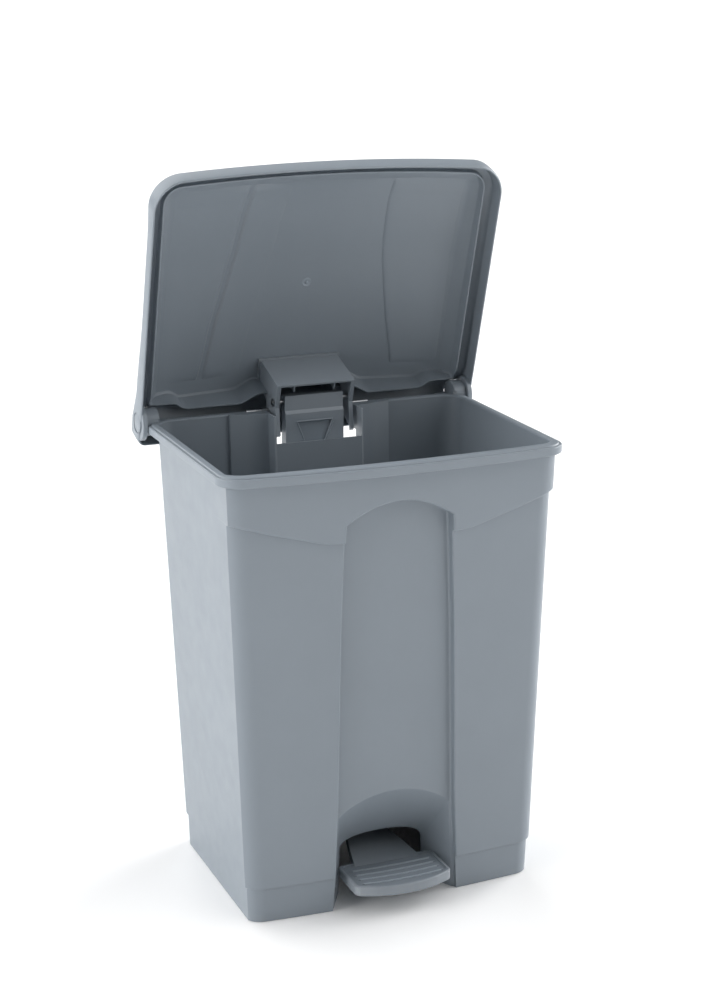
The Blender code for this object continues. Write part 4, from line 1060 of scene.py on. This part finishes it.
# ---- camera, floor and light ----
CAMERA_PLACE = (-1.0005, -2.4490, 1.2758)
CAMERA_YAW = math.radians(22.34)
CAMERA_PITCH = math.radians(15.89)
CAMERA_LENS = 72.8
FLOOR_SIZE = 150.0
WORLD_LIGHT = 0.06


def make_camera():
    """Camera at the photograph's place and angle."""
    forward = Vector((math.sin(CAMERA_YAW) * math.cos(CAMERA_PITCH),
                      math.cos(CAMERA_YAW) * math.cos(CAMERA_PITCH),
                      -math.sin(CAMERA_PITCH)))
    right = Vector((math.cos(CAMERA_YAW), -math.sin(CAMERA_YAW), 0.0))
    up = right.cross(forward)
    data = bpy.data.cameras.new("camera")
    data.lens = CAMERA_LENS
    data.sensor_width = 36.0
    data.clip_start = 0.05
    camera = bpy.data.objects.new("camera", data)
    bpy.context.scene.collection.objects.link(camera)
    turn = Matrix((right, up, -forward)).transposed().to_4x4()
    camera.matrix_world = Matrix.Translation(CAMERA_PLACE) @ turn
    bpy.context.scene.camera = camera


def make_floor():
    bm = bmesh.new()
    bmesh.ops.create_grid(bm, x_segments=1, y_segments=1, size=FLOOR_SIZE)
    mesh = bpy.data.meshes.new("floor")
    bm.to_mesh(mesh)
    bm.free()
    floor = bpy.data.objects.new("floor", mesh)
    bpy.context.scene.collection.objects.link(floor)
    mesh.materials.append(surface("floor_white", (0.985, 0.985, 0.985), 0.60, tint=0.003,
                                  depth=0.00001, edge_highlight=0.0))


def soft_sun(name, towards, softness_deg, strength):
    """Broad studio light from far away; towards points from the object to the light."""
    data = bpy.data.lights.new(name, 'SUN')
    data.energy = strength
    data.angle = math.radians(softness_deg)
    lamp = bpy.data.objects.new(name, data)
    bpy.context.scene.collection.objects.link(lamp)
    lamp.rotation_mode = 'QUATERNION'
    lamp.rotation_quaternion = Vector(towards).to_track_quat('Z', 'Y')


def make_lights():
    world = bpy.data.worlds.new("studio")
    world.use_nodes = True
    tree = world.node_tree
    back = tree.nodes["Background"]
    back.inputs["Color"].default_value = (1.0, 1.0, 1.0, 1.0)
    # faint as a light, white where it shows past the far edge of the floor
    rays = tree.nodes.new("ShaderNodeLightPath")
    strength = tree.nodes.new("ShaderNodeMapRange")
    strength.inputs["To Min"].default_value = WORLD_LIGHT
    strength.inputs["To Max"].default_value = 1.0
    link(tree, rays, "Is Camera Ray", strength, "Value")
    link(tree, strength, "Result", back, "Strength")
    bpy.context.scene.world = world
    soft_sun("light_left", (-1.0, 0.08, 0.35), 55.0, 2.60)
    soft_sun("light_right", (1.0, -0.6, 0.5), 70.0, 1.41)
    soft_sun("light_right_edge", (1.0, 0.25, 0.4), 45.0, 2.87)
    soft_sun("light_back", (-0.3, 1.0, 0.8), 60.0, 1.75)
    soft_sun("light_top", (0.0, -0.15, 1.0), 70.0, 0.70)
    bpy.context.scene.view_settings.view_transform = 'Standard'


make_bin()
make_lid()
make_lid_land("left", LEFT_CREASE, lambda x: LAND_SIDE_GAP - LID_HALF)
make_lid_land("middle", [(x + 0.0035, v) for x, v in LEFT_CREASE], lambda x: x + 0.0600)
make_lid_land("right", RIGHT_CREASE, lambda x: LID_HALF - LAND_SIDE_GAP)
make_gate_mark()
make_caps()
make_panel_border()
make_tread_ribs()
dress_nodes()
make_camera()
make_floor()
make_lights()
